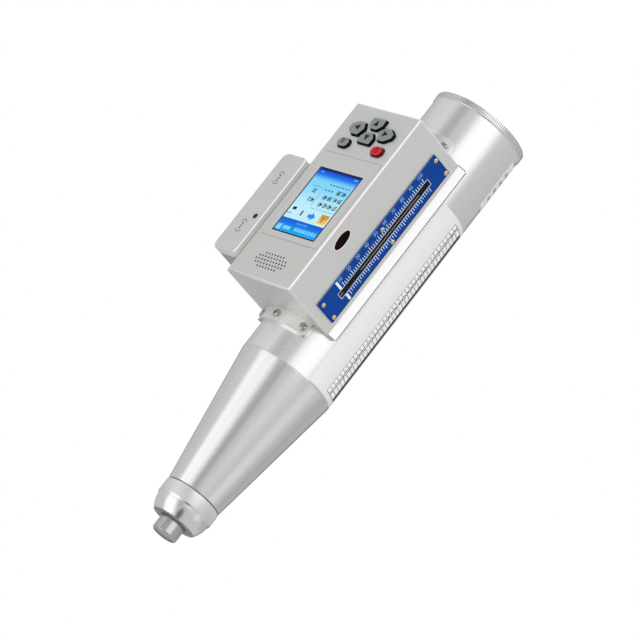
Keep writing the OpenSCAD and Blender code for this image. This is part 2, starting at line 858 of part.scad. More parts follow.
module instrument_case() color("lightgray") difference() {
    case_block();
    translate([0, 0, case_rear - overrun]) cylinder(h = case_len + 2 * overrun, r = seat_r);
    translate([case_wall - half_w, ceiling_y, case_rear + case_wall])
        cube([case_w + far_out - 2 * case_wall, case_top, case_len - 2 * case_wall]);
    arc(case_rear - overrun, case_len + 2 * overrun, barrel_bore, saddle_r + end_gap,
        -bed_turn - bed_play_turn, bed_turn + bed_play_turn);
    case_openings();
}

module case_openings() {
    panel_pocket(panel_t, panel_w + 2 * end_gap, panel_len + 2 * end_gap);
    on_top(0, lcd_z + lcd_len / 2, ceiling_y + overrun)
        linear_extrude(case_wall + 2 * overrun) square([lcd_w + 2 * gap, lcd_len + 2 * gap], center = true);
    for (k = [0:5]) on_top(0, 0, ceiling_y + overrun)
        linear_extrude(case_wall + 2 * overrun) key_outline(k, gap);
    grille_holes();
    on_side(top_y + ir_drop, case_front - ir_in, case_wall - half_w + overrun)
        linear_extrude(case_wall + 2 * overrun) oval(ir_len + 2 * press, ir_w + 2 * press);
    on_side(rod_y, slot_z + slot_len / 2, case_wall - half_w + overrun)
        linear_extrude(case_wall + 2 * overrun) square([slot_len, slot_w + 2 * gap], center = true);
    on_side(rod_y, slot_z + slot_len / 2, window_t + press - half_w) linear_extrude(window_t + overrun)
        square([slot_len + 2 * window_over + 2 * end_gap, window_w + 2 * end_gap], center = true);
    at_plate_screws() translate([0, 0, -case_wall - overrun])
        cylinder(h = case_wall + 2 * overrun, r = plate_screw_r + press);
    at_case_screws() translate([0, 0, -case_wall - overrun])
        cylinder(h = case_wall + 2 * overrun, r = case_screw_r + press);
    at_pack_screws() translate([0, 0, -pack_screw_len - overrun])
        cylinder(h = pack_screw_len + overrun, r = pack_screw_r + press);
}

module panel_pocket(depth, w, len) {
    on_top(0, panel_z + panel_len / 2, top_y + depth) linear_extrude(depth + overrun)
        round_rect(w, len, panel_r);
}

module grille_holes() {
    rows = len(hole_rows);
    for (j = [0:rows - 1]) for (i = [0:hole_rows[j] - 1])
        on_top(speaker_x + (i - (hole_rows[j] - 1) / 2) * hole_pitch,
               case_front - speaker_in + (j - (rows - 1) / 2) * hole_pitch * sin(60), ceiling_y + overrun)
            cylinder(h = case_wall + 2 * overrun, r = hole_r, $fn = 16);
}

module case_screws() color("silver")
    at_case_screws() translate([0, 0, press]) screw(case_screw_r, case_screw_len, case_head_r, saddle_head_t);

// Scale

module scale_plate() color("royalblue") difference() {
    on_side(plate_mid_y, plate_z + plate_len / 2) translate([0, 0, press]) linear_extrude(plate_t)
        round_rect(plate_len, plate_w, panel_r / 2);
    on_side(rod_y, slot_z + slot_len / 2) linear_extrude(plate_t + overrun)
        square([slot_len, slot_w], center = true);
    at_plate_screws() cylinder(h = plate_t + overrun, r = plate_screw_r + press);
}

module scale_plate_screws() color("goldenrod")
    at_plate_screws() translate([0, 0, plate_t + 2 * press])
        screw(plate_screw_r, plate_screw_len, plate_head_r, plate_head_t);

module scale_window() color("whitesmoke", 0.4) on_side(rod_y, slot_z + slot_len / 2, window_t - half_w)
    linear_extrude(window_t) square([slot_len + 2 * window_over, window_w], center = true);

module rider_rod() color("darkgoldenrod")
    translate([rod_x, rod_y, 0])
    bar(lug_rear + overrun, lug_front - lug_rear + lug_len - 2 * overrun, rod_r, rod_r / 4);

// The block slides on the rod, and its finger passes through the barrel to the back of the mass's flange
module rider() color("darkslategray") difference() {
    union() {
        translate([rod_x - rider_w / 2, rod_y - rider_h / 2, rider_z - rider_len / 2])
            cube([rider_w, rider_h, rider_len]);
        rotate([0, 0, -rod_turn]) translate([-finger_t / 2, -rod_reach, rider_z - finger_w / 2])
            cube([finger_t, rod_reach - finger_tip, finger_w]);
        translate([rod_x - rider_w / 4, rod_y - rider_h / 2 - wiper_h, rider_z - rider_w / 2])
            cube([rider_w / 2, wiper_h + rod_r, rider_w]);
    }
    translate([rod_x, rod_y, rider_z - rider_len]) cylinder(h = 2 * rider_len, r = rod_r + run);
}

module rider_sensor() color("darkgreen")
    translate([case_wall + gap - half_w,
               rod_y - rider_h / 2 - wiper_h - sensor_rise - sensor_t,
               lug_rear + lug_len + seat])
    cube([sensor_w, sensor_t, lug_front - lug_rear - lug_len - 2 * seat]);

module infrared_window() color([0.25, 0.02, 0.03])
    on_side(top_y + ir_drop, case_front - ir_in, case_wall - half_w) {
    linear_extrude(case_wall + ir_proud) oval(ir_len, ir_w);
    translate([0, 0, -ir_lip - press]) linear_extrude(ir_lip) oval(ir_len + 2 * ir_lip, ir_w + 2 * ir_lip);
    translate([0, 0, -ir_lip]) linear_extrude(2 * ir_lip) oval(ir_len - ir_lip, ir_w - ir_lip);
}

module infrared_emitter() color("dimgray")
    translate([case_wall + ir_lip + gap - half_w,
               board_y - board_t - emitter[1],
               case_front - ir_in - emitter[2] / 2])
    cube(emitter);

// Display

module display_panel() color("silver") difference() {
    on_top(0, panel_z + panel_len / 2, top_y + panel_t - press) linear_extrude(panel_t)
        round_rect(panel_w, panel_len, panel_r);
    on_top(0, lcd_z + lcd_len / 2, top_y + panel_t + overrun) linear_extrude(panel_t + 2 * overrun)
        square([lcd_w, lcd_len], center = true);
}

module lcd_module() color("deepskyblue") on_top(0, lcd_z + lcd_len / 2, board_y - board_t - seat) {
    depth = board_rest + board_t + seat;
    linear_extrude(case_top - case_wall - seat - depth)
        square([lcd_w + 2 * lcd_frame, lcd_len + 2 * lcd_frame], center = true);
    linear_extrude(case_top - panel_t - seat - depth) square([lcd_w, lcd_len], center = true);
}

// Keys

// Corners of half an arrow cluster, as shares of the distance from its middle to a key
side_key_shares = [
    [0.55, 0], [0.7, -0.27], [1.1, -0.27], [1.42, -0.07], [1.42, 0.1], [1.1, 0.32], [0.7, 0.32]];
end_key_shares = [[-0.98, 1.62], [-1.04, 0.94], [-0.51, 0.36], [0.51, 0.36], [1.04, 0.94], [0.98, 1.62]];

// Six outlines on the display face: left, right, front and rear arrows, then the two ovals
module key_outline(k, grow) {
    r = key_corner + grow;
    if (k < 2) translate([0, nav_z]) mirror([k, 0]) round_polygon(side_key_shares * side_key_x, r);
    if (k == 2) translate([0, nav_z]) round_polygon(end_key_shares * end_key_z, r);
    if (k == 3) translate([0, nav_z]) mirror([0, 1]) round_polygon(end_key_shares * end_key_z, r);
    if (k > 3) translate([k == 4 ? oval_x : -oval_x, oval_z]) obround(oval_w + 2 * grow, oval_d + 2 * grow);
}

// The way out of an edge that runs from p to q round an anticlockwise polygon, as an angle
function edge_out(p, q) = atan2(p[0] - q[0], q[1] - p[1]);

// A polygon, given anticlockwise, grown by r with round corners
module round_polygon(points, r) {
    n = len(points);
    polygon([for (i = [0:n - 1])
        let (p = points[i],
             first = edge_out(points[(i + n - 1) % n], p),
             turn = (edge_out(p, points[(i + 1) % n]) - first + 360) % 360)
        for (j = [0:corner_steps])
            let (a = first + turn * j / corner_steps)
            p + r * [cos(a), sin(a)]]);
}

// A key stands through the case on a brim, with a stem towards its switch
module key_cap(k, middle) {
    on_top(0, 0, ceiling_y) linear_extrude(case_wall + key_rise) key_outline(k, 0);
    on_top(0, 0, ceiling_y + seat + brim_t) linear_extrude(brim_t) key_outline(k, key_brim);
    on_top(0, 0, ceiling_y + seat + brim_t / 2) linear_extrude(seat + brim_t) key_outline(k, 0);
    on_top(middle[0], middle[1], ceiling_y + seat + brim_t + stem_len)
        cylinder(h = stem_len + brim_t / 2, r = stem_r);
}

// Middles of the six keys, where their stems and switches are
key_middles = [[side_key_x, nav_z], [-side_key_x, nav_z], [0, nav_z + end_key_z], [0, nav_z - end_key_z],
               [oval_x, oval_z], [-oval_x, oval_z]];

module key_left() color("darkgray") key_cap(0, key_middles[0]);
module key_right() color("darkgray") key_cap(1, key_middles[1]);
module key_front() color("darkgray") key_cap(2, key_middles[2]);
module key_rear() color("darkgray") key_cap(3, key_middles[3]);
module key_menu() color("darkgray") key_cap(4, key_middles[4]);
module key_power() color("crimson") key_cap(5, key_middles[5]);

// A tray under the ceiling that guides the stems and leaves room for the brims to go down
module key_guide() color("gray") difference() {
    drop = seat + brim_t + key_travel + gap;
    middle = case_rear + case_wall + end_gap + guide_len / 2;
    on_top(0, middle, ceiling_y + drop + guide_t) linear_extrude(drop + guide_t - seat)
        square([guide_w, guide_len], center = true);
    on_top(0, middle, ceiling_y + drop) linear_extrude(drop)
        square([guide_w - 2 * guide_rim, guide_len - 2 * guide_rim], center = true);
    for (m = key_middles) on_top(m[0], m[1], ceiling_y + drop + guide_t + overrun)
        cylinder(h = guide_t + 2 * overrun, r = stem_r + gap);
}

module key_switches() color("black") for (m = key_middles)
    on_top(m[0], m[1], board_y - board_t - press)
        linear_extrude(switch[2]) square([switch[0], switch[1]], center = true);

// Board and speaker

module main_board() color("green") difference() {
    w = case_w - 2 * case_wall - 2 * board_inset;
    translate([-w / 2, board_y - board_t, lug_rear]) cube([w, board_t, lug_front + lug_len - lug_rear]);
    at_board_screws() translate([0, 0, -board_t - overrun])
        cylinder(h = board_t + 2 * overrun, r = board_screw_r + press);
}

module board_screws() color("silver")
    at_board_screws() translate([0, 0, press])
        screw(board_screw_r, board_screw_len, board_head_r, board_head_t);

module speaker() color("black") on_top(speaker_x, case_front - speaker_in, ceiling_y + seat + speaker[2]) {
    linear_extrude(speaker[2]) round_rect(speaker[0], speaker[1], speaker[1] / 4);
    translate([0, 0, -magnet_t]) cylinder(h = magnet_t + overrun, r = magnet_r);
}

// Battery holder

module battery_box() color("lightgray") difference() {
    h = pack_h - lid_t;
    at_pack(lid_y) linear_extrude(h) pack_outline(0);
    translate([pack_x + pack_wall, lid_y - overrun, pack_z + pack_wall])
        cube([pack_w - 2 * pack_wall, h - pack_wall + overrun, pack_len - 2 * pack_wall]);
    at_pack_screws() translate([0, 0, -pack_wall - overrun])
        cylinder(h = pack_wall + 2 * overrun, r = pack_screw_r + press);
}

// Places an outline at a depth under the lid, with its X across and its -Y along the barrel
module at_pack(y) translate([pack_x, y, pack_z]) rotate([-90, 0, 0]) children();

// The holder's outline, with the side by the case moved in
module pack_outline(short) translate([short + (pack_w - short) / 2, -pack_len / 2])
    round_rect(pack_w - short, pack_len, lid_corner);

module battery_lid() color("gainsboro") difference() {
    union() {
        at_pack(pack_top + lid_edge) linear_extrude(lid_t - lid_edge - seat) pack_outline(lid_gap);
        hull() {
            at_pack(pack_top + lid_edge) linear_extrude(press) pack_outline(lid_gap);
            at_pack(pack_top) linear_extrude(press) offset(r = -lid_edge) pack_outline(lid_gap);
        }
        for (x = [pack_wall + gap, pack_w - pack_wall - gap - rib_t])
            translate([pack_x + x, lid_y - seat - overrun, pack_z + pack_wall + lid_corner])
            cube([rib_t, rib_h + overrun, pack_len - 2 * pack_wall - lid_corner - lid_travel - 2 * gap]);
    }
    on_top(pack_x + lamp_x, pack_front - lamp_in, lid_y + overrun)
        cylinder(h = lid_t + 2 * overrun, r = lamp_r + press);
}

module battery_lamp() color("darkred")
    on_top(pack_x + lamp_x, pack_front - lamp_in, lid_y - seat) cylinder(h = lid_t - seat, r = lamp_r);

module battery_cell() color("dimgray")
    translate([pack_x + pack_w / 2,
               lid_y + pack_h - lid_t - pack_wall - seat,
               pack_z + pack_wall + seat + cell_len / 2])
    rotate([90, 0, 0]) linear_extrude(cell_h) round_rect(cell_w, cell_len, cell_corner);

module battery_contacts() color("gold") for (s = [-1, 1])
    translate([pack_x + pack_w / 2 + s * contact_w - contact_w / 2,
               lid_y + pack_h - lid_t - pack_wall - seat - cell_h / 2,
               pack_z + pack_wall + 2 * seat + cell_len]) {
        reach = pack_len - 2 * pack_wall - cell_len - 3 * seat;
        cube([contact_w * 2 / 3, cell_h / 2, contact_t]);
        cube([contact_w * 2 / 3, contact_t, reach]);
        translate([0, 0, reach - contact_t]) cube([contact_w * 2 / 3, cell_h / 2, contact_t]);
    }

module battery_box_screws() color("silver")
    at_pack_screws() translate([0, 0, press]) screw(pack_screw_r, pack_screw_len, pack_head_r, pack_head_t);

barrel();
table_label();
rear_label();
rear_cap();
trip_screw();
trip_lock_nut();
return_spring();
guide_disc();
guide_bar();
pawl();
pawl_pin();
pawl_spring();
hammer_mass();
impact_spring();
nose_cone();
guide_sleeve();
split_ring();
felt_washer();
front_cap();
plunger();
retaining_spring();
lock_bush();
lock_button();
lock_spring();
mount_saddle();
saddle_screws();
instrument_case();
case_screws();
scale_plate();
scale_plate_screws();
scale_window();
rider_rod();
rider();
rider_sensor();
infrared_window();
infrared_emitter();
display_panel();
lcd_module();
key_left();
key_right();
key_front();
key_rear();
key_menu();
key_power();
key_guide();
key_switches();
main_board();
board_screws();
speaker();
battery_box();
battery_lid();
battery_lamp();
battery_cell();
battery_contacts();
battery_box_screws();
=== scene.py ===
import json
from math import cos, hypot, pi, radians, sin, sqrt

import bmesh
import bpy
from mathutils import Matrix, Vector


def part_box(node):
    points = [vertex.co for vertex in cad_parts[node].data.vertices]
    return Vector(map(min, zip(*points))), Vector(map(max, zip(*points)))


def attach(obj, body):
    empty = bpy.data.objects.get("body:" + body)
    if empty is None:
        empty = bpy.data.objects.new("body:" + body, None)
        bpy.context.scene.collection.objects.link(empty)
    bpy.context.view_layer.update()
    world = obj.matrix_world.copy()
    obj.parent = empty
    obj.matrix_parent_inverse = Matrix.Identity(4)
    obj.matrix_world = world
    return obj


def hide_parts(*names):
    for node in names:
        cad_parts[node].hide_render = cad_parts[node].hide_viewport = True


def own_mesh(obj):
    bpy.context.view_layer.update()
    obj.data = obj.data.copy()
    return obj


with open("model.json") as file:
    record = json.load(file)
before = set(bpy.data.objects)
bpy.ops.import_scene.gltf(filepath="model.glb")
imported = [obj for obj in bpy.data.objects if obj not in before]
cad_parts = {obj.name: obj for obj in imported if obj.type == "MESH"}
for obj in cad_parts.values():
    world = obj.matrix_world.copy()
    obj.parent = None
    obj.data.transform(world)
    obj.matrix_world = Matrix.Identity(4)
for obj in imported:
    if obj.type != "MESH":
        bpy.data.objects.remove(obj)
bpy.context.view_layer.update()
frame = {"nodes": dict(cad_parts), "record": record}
nodes = frame["nodes"]

# Lengths below are in millimetres and turned into metres where a mesh is made
MM = 0.001


def end_of(node, axis, side):
    """Where a CAD node begins (side 0) or ends (side 1) along an axis."""
    return round(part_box(node)[side]["xyz".index(axis)] / MM, 3)


def both_ends(node, axis):
    return end_of(node, axis, 0), end_of(node, axis, 1)


def middle_of(node, axis):
    return sum(both_ends(node, axis)) / 2


# Faces of the CAD nodes that carry the pieces below
BARREL_R = end_of("barrel", "x", 1)
BARREL_REAR, BARREL_FRONT = both_ends("barrel", "z")
PLUNGER_TIP = end_of("plunger", "z", 1)
CASE_TOP, CASE_FOOT = both_ends("instrument_case", "y")
CASE_REAR, CASE_FRONT = both_ends("instrument_case", "z")
PANEL_TOP = end_of("display_panel", "y", 0)
SCREEN_TOP = PANEL_TOP + 0.12
PLATE_FACE = end_of("scale_plate", "x", 0)
SCALE_SIDE = end_of("scale_window", "x", 0)
FAR_SIDE = 2 * middle_of("instrument_case", "x") - SCALE_SIDE
WINDOW_BACK = end_of("scale_window", "x", 1) + 0.1
SLOT_Y = middle_of("scale_window", "y")
GRILLE_X, GRILLE_Z = middle_of("speaker", "x"), middle_of("speaker", "z")
CLOTH_TOP = end_of("speaker", "y", 0) - 0.05
LID_TOP = end_of("battery_lid", "y", 0)
# Height and radius of the floor
FLOOR_Z, FLOOR_R = -250.0, 450.0
# Where the painted shade line round the case's skirt begins
RIM = 0.5
RIM_FOOT, RIM_REAR, RIM_FRONT = CASE_FOOT - RIM, CASE_REAR + RIM, CASE_FRONT - RIM
# Under and upper side of printed marks, above the surface that carries them
PRINT = (-0.02, 0.03)
FOIL_PRINT = (0.1, 0.17)
SCREEN_PRINT = (0.08, 0.12)
SCREEN_FAINT = (0.08, 0.11)
# Ticks of the scale, and the conversion table's ends, rows and cells, these in degrees round the barrel
FIRST_TICK, TICK_STEP = -124.14, 1.524
TABLE_REAR, TABLE_FRONT = end_of("table_label", "z", 0) + 2.9, end_of("table_label", "z", 1) - 3.1
TABLE_ROWS = 40
TABLE_ROW = (TABLE_FRONT - TABLE_REAR) / TABLE_ROWS
CELL_FROM, CELL_TO = 102.6, 124.4
# Edges sharper than this many degrees can be rounded
SHARP_EDGE = 28
# Depth of the bumps in the finishes, in metres
BUMP_DEPTH = 0.00002
# How a key's top rounds over: how far in from its outline and how far below the flat top
KEY_ROUND = ((0.0, 0.95), (0.1, 0.62), (0.28, 0.34), (0.48, 0.14), (0.75, 0.02), (1.2, 0.0), (2.4, -0.04))


# Small tools for node trees

def add_node(tree, kind, settings=None, **inputs):
    made = tree.nodes.new(kind)
    for key, value in (settings or {}).items():
        setattr(made, key, value)
    for key, value in inputs.items():
        feed(tree, made.inputs[key.replace("_", " ")], value)
    return made


def feed(tree, socket, value):
    if isinstance(value, bpy.types.NodeSocket):
        tree.links.new(value, socket)
    else:
        socket.default_value = value


def node_step(tree, kind, operation, values):
    made = tree.nodes.new(kind)
    made.operation = operation
    for socket, value in zip(made.inputs, values):
        feed(tree, socket, value)
    return made.outputs


def arithmetic(tree, operation, *values):
    return node_step(tree, "ShaderNodeMath", operation, values)[0]


def vector_step(tree, operation, *values):
    outputs = node_step(tree, "ShaderNodeVectorMath", operation, values)
    return outputs["Value" if operation in ("DOT_PRODUCT", "LENGTH") else "Vector"]


def ramp(tree, value, start, end, low, high, kind="SMOOTHSTEP"):
    made = tree.nodes.new("ShaderNodeMapRange")
    made.interpolation_type = kind
    for key, item in (("Value", value), ("From Min", start), ("From Max", end),
                      ("To Min", low), ("To Max", high)):
        feed(tree, made.inputs[key], item)
    return made.outputs["Result"]


def mix_colours(tree, share, low, high):
    made = tree.nodes.new("ShaderNodeMix")
    made.data_type = "RGBA"
    for socket, value in ((0, share), (6, low), (7, high)):
        feed(tree, made.inputs[socket], value)
    return made.outputs[2]


def mix_shaders(tree, share, one, other):
    made = tree.nodes.new("ShaderNodeMixShader")
    for socket, value in zip(made.inputs, (share, one, other)):
        feed(tree, socket, value)
    return made.outputs[0]


def noise(tree, place, scale, detail):
    return add_node(tree, "ShaderNodeTexNoise", Vector=place, Scale=scale, Detail=detail).outputs["Fac"]


def new_group(name, kind, inputs, outputs):
    """A node group with the named sockets, and its inputs and outputs as seen from inside."""
    tree = bpy.data.node_groups.new(name, kind)
    for way, sockets in (("INPUT", inputs), ("OUTPUT", outputs)):
        for label, socket in sockets.items():
            tree.interface.new_socket(name=label, in_out=way, socket_type="NodeSocket" + socket)
    return tree, tree.nodes.new("NodeGroupInput").outputs, tree.nodes.new("NodeGroupOutput").inputs


# Shared surface effects

def surface_grain_group():
    tree, given, out = new_group(
        "surface_grain", "ShaderNodeTree",
        {"Colour": "Color", "Tone Shift": "Float", "Grain Size": "Float", "Smooth": "Float",
         "Rough": "Float"},
        {"Colour": "Color", "Roughness": "Float", "Height": "Float"})
    place = add_node(tree, "ShaderNodeTexCoord").outputs["Object"]
    fine = noise(tree, place, given["Grain Size"], 3.0)
    broad = noise(tree, place, 38.0, 2.0)
    swings = [arithmetic(tree, "MULTIPLY", arithmetic(tree, "SUBTRACT", part, 0.5), given["Tone Shift"])
              for part in (broad, fine)]
    tone = arithmetic(tree, "ADD", arithmetic(tree, "ADD", *swings), 1.0)
    shade = add_node(tree, "ShaderNodeVectorMath", {"operation": "SCALE"}, Scale=tone)
    feed(tree, shade.inputs[0], given["Colour"])
    gloss = ramp(tree, fine, 0.3, 0.7, given["Smooth"], given["Rough"], "LINEAR")
    feed(tree, out["Colour"], shade.outputs["Vector"])
    feed(tree, out["Roughness"], gloss)
    feed(tree, out["Height"], fine)
    return tree


def lathe_marks_group():
    tree, given, out = new_group("lathe_marks", "ShaderNodeTree", {"Pitch": "Float"}, {"Height": "Float"})
    place = add_node(tree, "ShaderNodeTexCoord").outputs["Object"]
    parts = add_node(tree, "ShaderNodeSeparateXYZ", Vector=place).outputs
    flat = add_node(tree, "ShaderNodeCombineXYZ", X=parts["X"], Y=parts["Y"])
    radius = vector_step(tree, "LENGTH", flat.outputs["Vector"])
    across = add_node(tree, "ShaderNodeCombineXYZ", X=arithmetic(tree, "MULTIPLY", radius, given["Pitch"]),
                      Y=arithmetic(tree, "MULTIPLY", parts["Z"], given["Pitch"]))
    rings = add_node(tree, "ShaderNodeTexNoise", {"noise_dimensions": "2D"},
                     Vector=across.outputs["Vector"], Scale=1.0, Detail=2.0)
    feed(tree, out["Height"], rings.outputs["Fac"])
    return tree


def painted_edge_highlight_group():
    tree, given, out = new_group(
        "painted_edge_highlight", "ShaderNodeTree",
        {"Colour": "Color", "Edge Colour": "Color", "Amount": "Float"}, {"Colour": "Color"})
    # Marked edge faces are paled towards the edge colour: a painted highlight, broken up by noise.
    place = add_node(tree, "ShaderNodeTexCoord").outputs["Object"]
    patchy = noise(tree, place, 420.0, 3.0)
    edge = add_node(tree, "ShaderNodeAttribute", {"attribute_name": "edge"})
    highlight_share = arithmetic(tree, "MULTIPLY", edge.outputs["Fac"], given["Amount"])
    highlight_share = arithmetic(tree, "MULTIPLY", highlight_share, ramp(tree, patchy, 0.3, 0.6, 0.6, 1.0))
    feed(tree, out["Colour"], mix_colours(tree, highlight_share, given["Colour"], given["Edge Colour"]))
    return tree


SURFACE_GRAIN = surface_grain_group()
LATHE_MARKS = lathe_marks_group()
EDGE_HIGHLIGHT = painted_edge_highlight_group()


def use_group(tree, group, **inputs):
    return add_node(tree, "ShaderNodeGroup", {"node_tree": group}, **inputs).outputs


def srgb(red, green, blue):
    def line(value):
        value /= 255
        return value / 12.92 if value <= 0.04045 else ((value + 0.055) / 1.055) ** 2.4
    return (line(red), line(green), line(blue), 1.0)


def new_material(name):
    made = bpy.data.materials.new(name)
    made.use_nodes = True
    return made, made.node_tree


def finish(name, colour, smooth, rough, metallic=0.0, tone=0.04, grain=1800.0, bump=0.15, lathe=0.0,
           pitch=9000.0, edge=None, edge_highlight_amount=0.6, specular=0.5):
    """One material: a base colour with grain, an uneven gloss, a fine bump and paler edges, which are a
    painted highlight.
    """
    made, tree = new_material(name)
    skin = tree.nodes["Principled BSDF"].inputs
    grained = use_group(tree, SURFACE_GRAIN, Colour=colour, Tone_Shift=tone, Grain_Size=grain,
                        Smooth=smooth, Rough=rough)
    shade = grained["Colour"]
    if edge:
        shade = use_group(tree, EDGE_HIGHLIGHT, Colour=shade, Edge_Colour=edge, Amount=edge_highlight_amount)["Colour"]
    raised = add_node(tree, "ShaderNodeBump", Strength=bump, Distance=BUMP_DEPTH, Height=grained["Height"])
    if lathe:
        rings = use_group(tree, LATHE_MARKS, Pitch=pitch)
        raised = add_node(tree, "ShaderNodeBump", Strength=lathe, Distance=BUMP_DEPTH,
                          Height=rings["Height"], Normal=raised.outputs["Normal"])
    for label, value in (("Base Color", shade), ("Roughness", grained["Roughness"]),
                         ("Normal", raised.outputs["Normal"]), ("Metallic", metallic),
                         ("Specular IOR Level", specular)):
        feed(tree, skin[label], value)
    return made


def clear_finish(name, colour, smooth, rough):
    made = finish(name, colour, smooth, rough, tone=0.01, bump=0.02, specular=0.2)
    made.node_tree.nodes["Principled BSDF"].inputs["Alpha"].default_value = 0.6
    return made


def lit_finish(name, low, high, start, end, glow=0.97):
    """A lit part of the screen, its colour running from low to high along the case."""
    made, tree = new_material(name)
    place = add_node(tree, "ShaderNodeTexCoord").outputs["Object"]
    along = add_node(tree, "ShaderNodeSeparateXYZ", Vector=place).outputs["Z"]
    dots = noise(tree, place, 2600.0, 1.0)
    share = arithmetic(tree, "ADD", ramp(tree, along, start * MM, end * MM, 0.0, 1.0),
                       ramp(tree, dots, 0.3, 0.7, -0.05, 0.05))
    skin = tree.nodes["Principled BSDF"].inputs
    for label, value in (("Base Color", (0.0, 0.0, 0.0, 1.0)), ("Specular IOR Level", 0.08),
                         ("Roughness", 0.25), ("Emission Color", mix_colours(tree, share, low, high)),
                         ("Emission Strength", glow)):
        feed(tree, skin[label], value)
    return made


# Materials given an edge colour take a painted highlight on their rounded edges.
WHITE = srgb(250, 250, 250)
silver_satin = finish("silver_satin", (0.87, 0.87, 0.86, 1), 0.21, 0.26, 1.0, 0.02, 2600, 0.03, 0.02,
                      edge=WHITE, edge_highlight_amount=0.8)
silver_barrel = finish("silver_barrel", (0.88, 0.88, 0.87, 1), 0.25, 0.31, 1.0, 0.02, 2600, 0.02, 0.015)
silver_collar = finish("silver_collar", (0.93, 0.93, 0.92, 1), 0.27, 0.34, 1.0, 0.03, 2600, 0.08)
knurl_groove_shade = finish("knurl_groove_shade", (0.4, 0.4, 0.39, 1), 0.4, 0.5, 1.0, 0.05, 2600, 0.1)
cap_ring_matte = finish("cap_ring_matte", (0.90, 0.90, 0.89, 1), 0.34, 0.42, 1.0, 0.04, 3000, 0.2, 0.15)
steel_polished = finish("steel_polished", (0.9, 0.9, 0.89, 1), 0.2, 0.26, 1.0, 0.03, 2500, 0.02, 0.02, 14000)
steel_plunger = finish("steel_plunger", (0.56, 0.57, 0.58, 1), 0.12, 0.2, 1.0, 0.05, 2500, 0.04, 0.2, 5000)
steel_dark = finish("steel_dark", (0.18, 0.18, 0.19, 1), 0.3, 0.45, 1.0, 0.1, 1500, 0.2,
                    edge=(0.4, 0.4, 0.4, 1))
steel_shadow = finish("steel_shadow", (0.25, 0.25, 0.245, 1), 0.5, 0.6, 0.0, 0.2, 1500, 0.2, specular=0.05)
steel_spring = finish("steel_spring", (0.45, 0.46, 0.48, 1), 0.22, 0.32, 1.0, 0.08, 1500, 0.1)
screw_steel = finish("screw_steel", (0.52, 0.51, 0.47, 1), 0.18, 0.28, 1.0, 0.06, 2500, 0.1, edge=WHITE)
screw_brass = finish("screw_brass", (0.78, 0.68, 0.47, 1), 0.16, 0.26, 1.0, 0.08, 2500, 0.1)
brass_turned = finish("brass_turned", (0.72, 0.55, 0.28, 1), 0.22, 0.34, 1.0, 0.08, 2500, 0.1, 0.1)
case_paint = finish("case_paint", (0.60, 0.60, 0.585, 1), 0.36, 0.44, 0.35, 0.03, 3200, 0.12,
                    edge=(0.97, 0.97, 0.96, 1), edge_highlight_amount=0.9)
# A paler copy of the case paint: painted highlight for the bevels, the skirt's flare, the lid's chamfer and
# the infrared window's rim.
case_paint_highlight = finish("case_paint_highlight", (0.88, 0.88, 0.87, 1), 0.32, 0.4, 0.1, 0.01, 3200, 0.06)
# A dark copy of the case paint: painted shade along the skirt's rim and on the walls of the grille holes.
case_painted_shade = finish("case_painted_shade", (0.16, 0.16, 0.155, 1), 0.5, 0.6, 0.0, 0.05, 3200, 0.06, specular=0.1)
panel_film = finish("panel_film", (0.59, 0.59, 0.575, 1), 0.4, 0.48, 0.3, 0.03, 3600, 0.1)
panel_line = finish("panel_line", srgb(150, 150, 147), 0.5, 0.6, 0.0, 0.04, 3600, 0.1)
holder_plastic = finish("holder_plastic", (0.57, 0.57, 0.56, 1), 0.42, 0.52, 0.15, 0.03, 3000, 0.25,
                        edge=(0.92, 0.92, 0.91, 1), edge_highlight_amount=0.9)
# A darker copy of the holder plastic: painted shade on the lid's inner wall.
holder_wall_shade = finish("holder_wall_shade", (0.50, 0.50, 0.49, 1), 0.42, 0.52, 0.05, 0.03, 3000, 0.25,
                     edge=(0.97, 0.97, 0.96, 1))
holder_shade = finish("holder_shade", (0.30, 0.30, 0.295, 1), 0.45, 0.55, 0.1, 0.04, 3000, 0.25)
plate_blue = finish("plate_blue", srgb(0, 62, 142), 0.4, 0.5, 0.0, 0.1, 2600, 0.1,
                    edge=(0.5, 0.64, 0.85, 1), specular=0.12)
plate_dark = finish("plate_dark", srgb(0, 22, 78), 0.4, 0.5, 0.0, 0.1, 2600, 0.1, specular=0.1)
print_white = finish("print_white", srgb(222, 230, 240), 0.5, 0.6, 0.0, 0.05, 4000, 0.1, specular=0.2)
print_blue_pale = finish("print_blue_pale", srgb(116, 154, 212), 0.5, 0.6, 0.0, 0.05, 4000, 0.1)
print_black = finish("print_black", srgb(20, 20, 22), 0.5, 0.65, 0.0, 0.15, 4000, 0.1, specular=0.2)
# These two greys paint the shade in the lid's moulded finger marks; the darker one is also print on the
# labels.
grip_recess_shade = finish("grip_recess_shade", srgb(120, 120, 118), 0.5, 0.6, 0.0, 0.08, 4000, 0.1)
dark_print_and_recess_shade = finish("dark_print_and_recess_shade", srgb(74, 76, 74), 0.5, 0.6, 0.0, 0.08, 4000, 0.1)
print_brass = finish("print_brass", srgb(140, 130, 106), 0.5, 0.6, 0.1, 0.2, 3000, 0.1, specular=0.2)
window_clear = clear_finish("window_clear", (0.012, 0.012, 0.01, 1), 0.1, 0.2)
window_red = finish("window_red", srgb(14, 2, 3), 0.1, 0.16, 0.0, 0.2, 700, 0.02, specular=0.08,
                    edge=srgb(128, 16, 20))
screen_glass = finish("screen_glass", srgb(6, 6, 9), 0.2, 0.3, 0.0, 0.1, 1500, 0.02, specular=0.2)
key_rubber = finish("key_rubber", srgb(132, 141, 139), 0.5, 0.62, 0.0, 0.1, 2200, 0.6, specular=0.25)
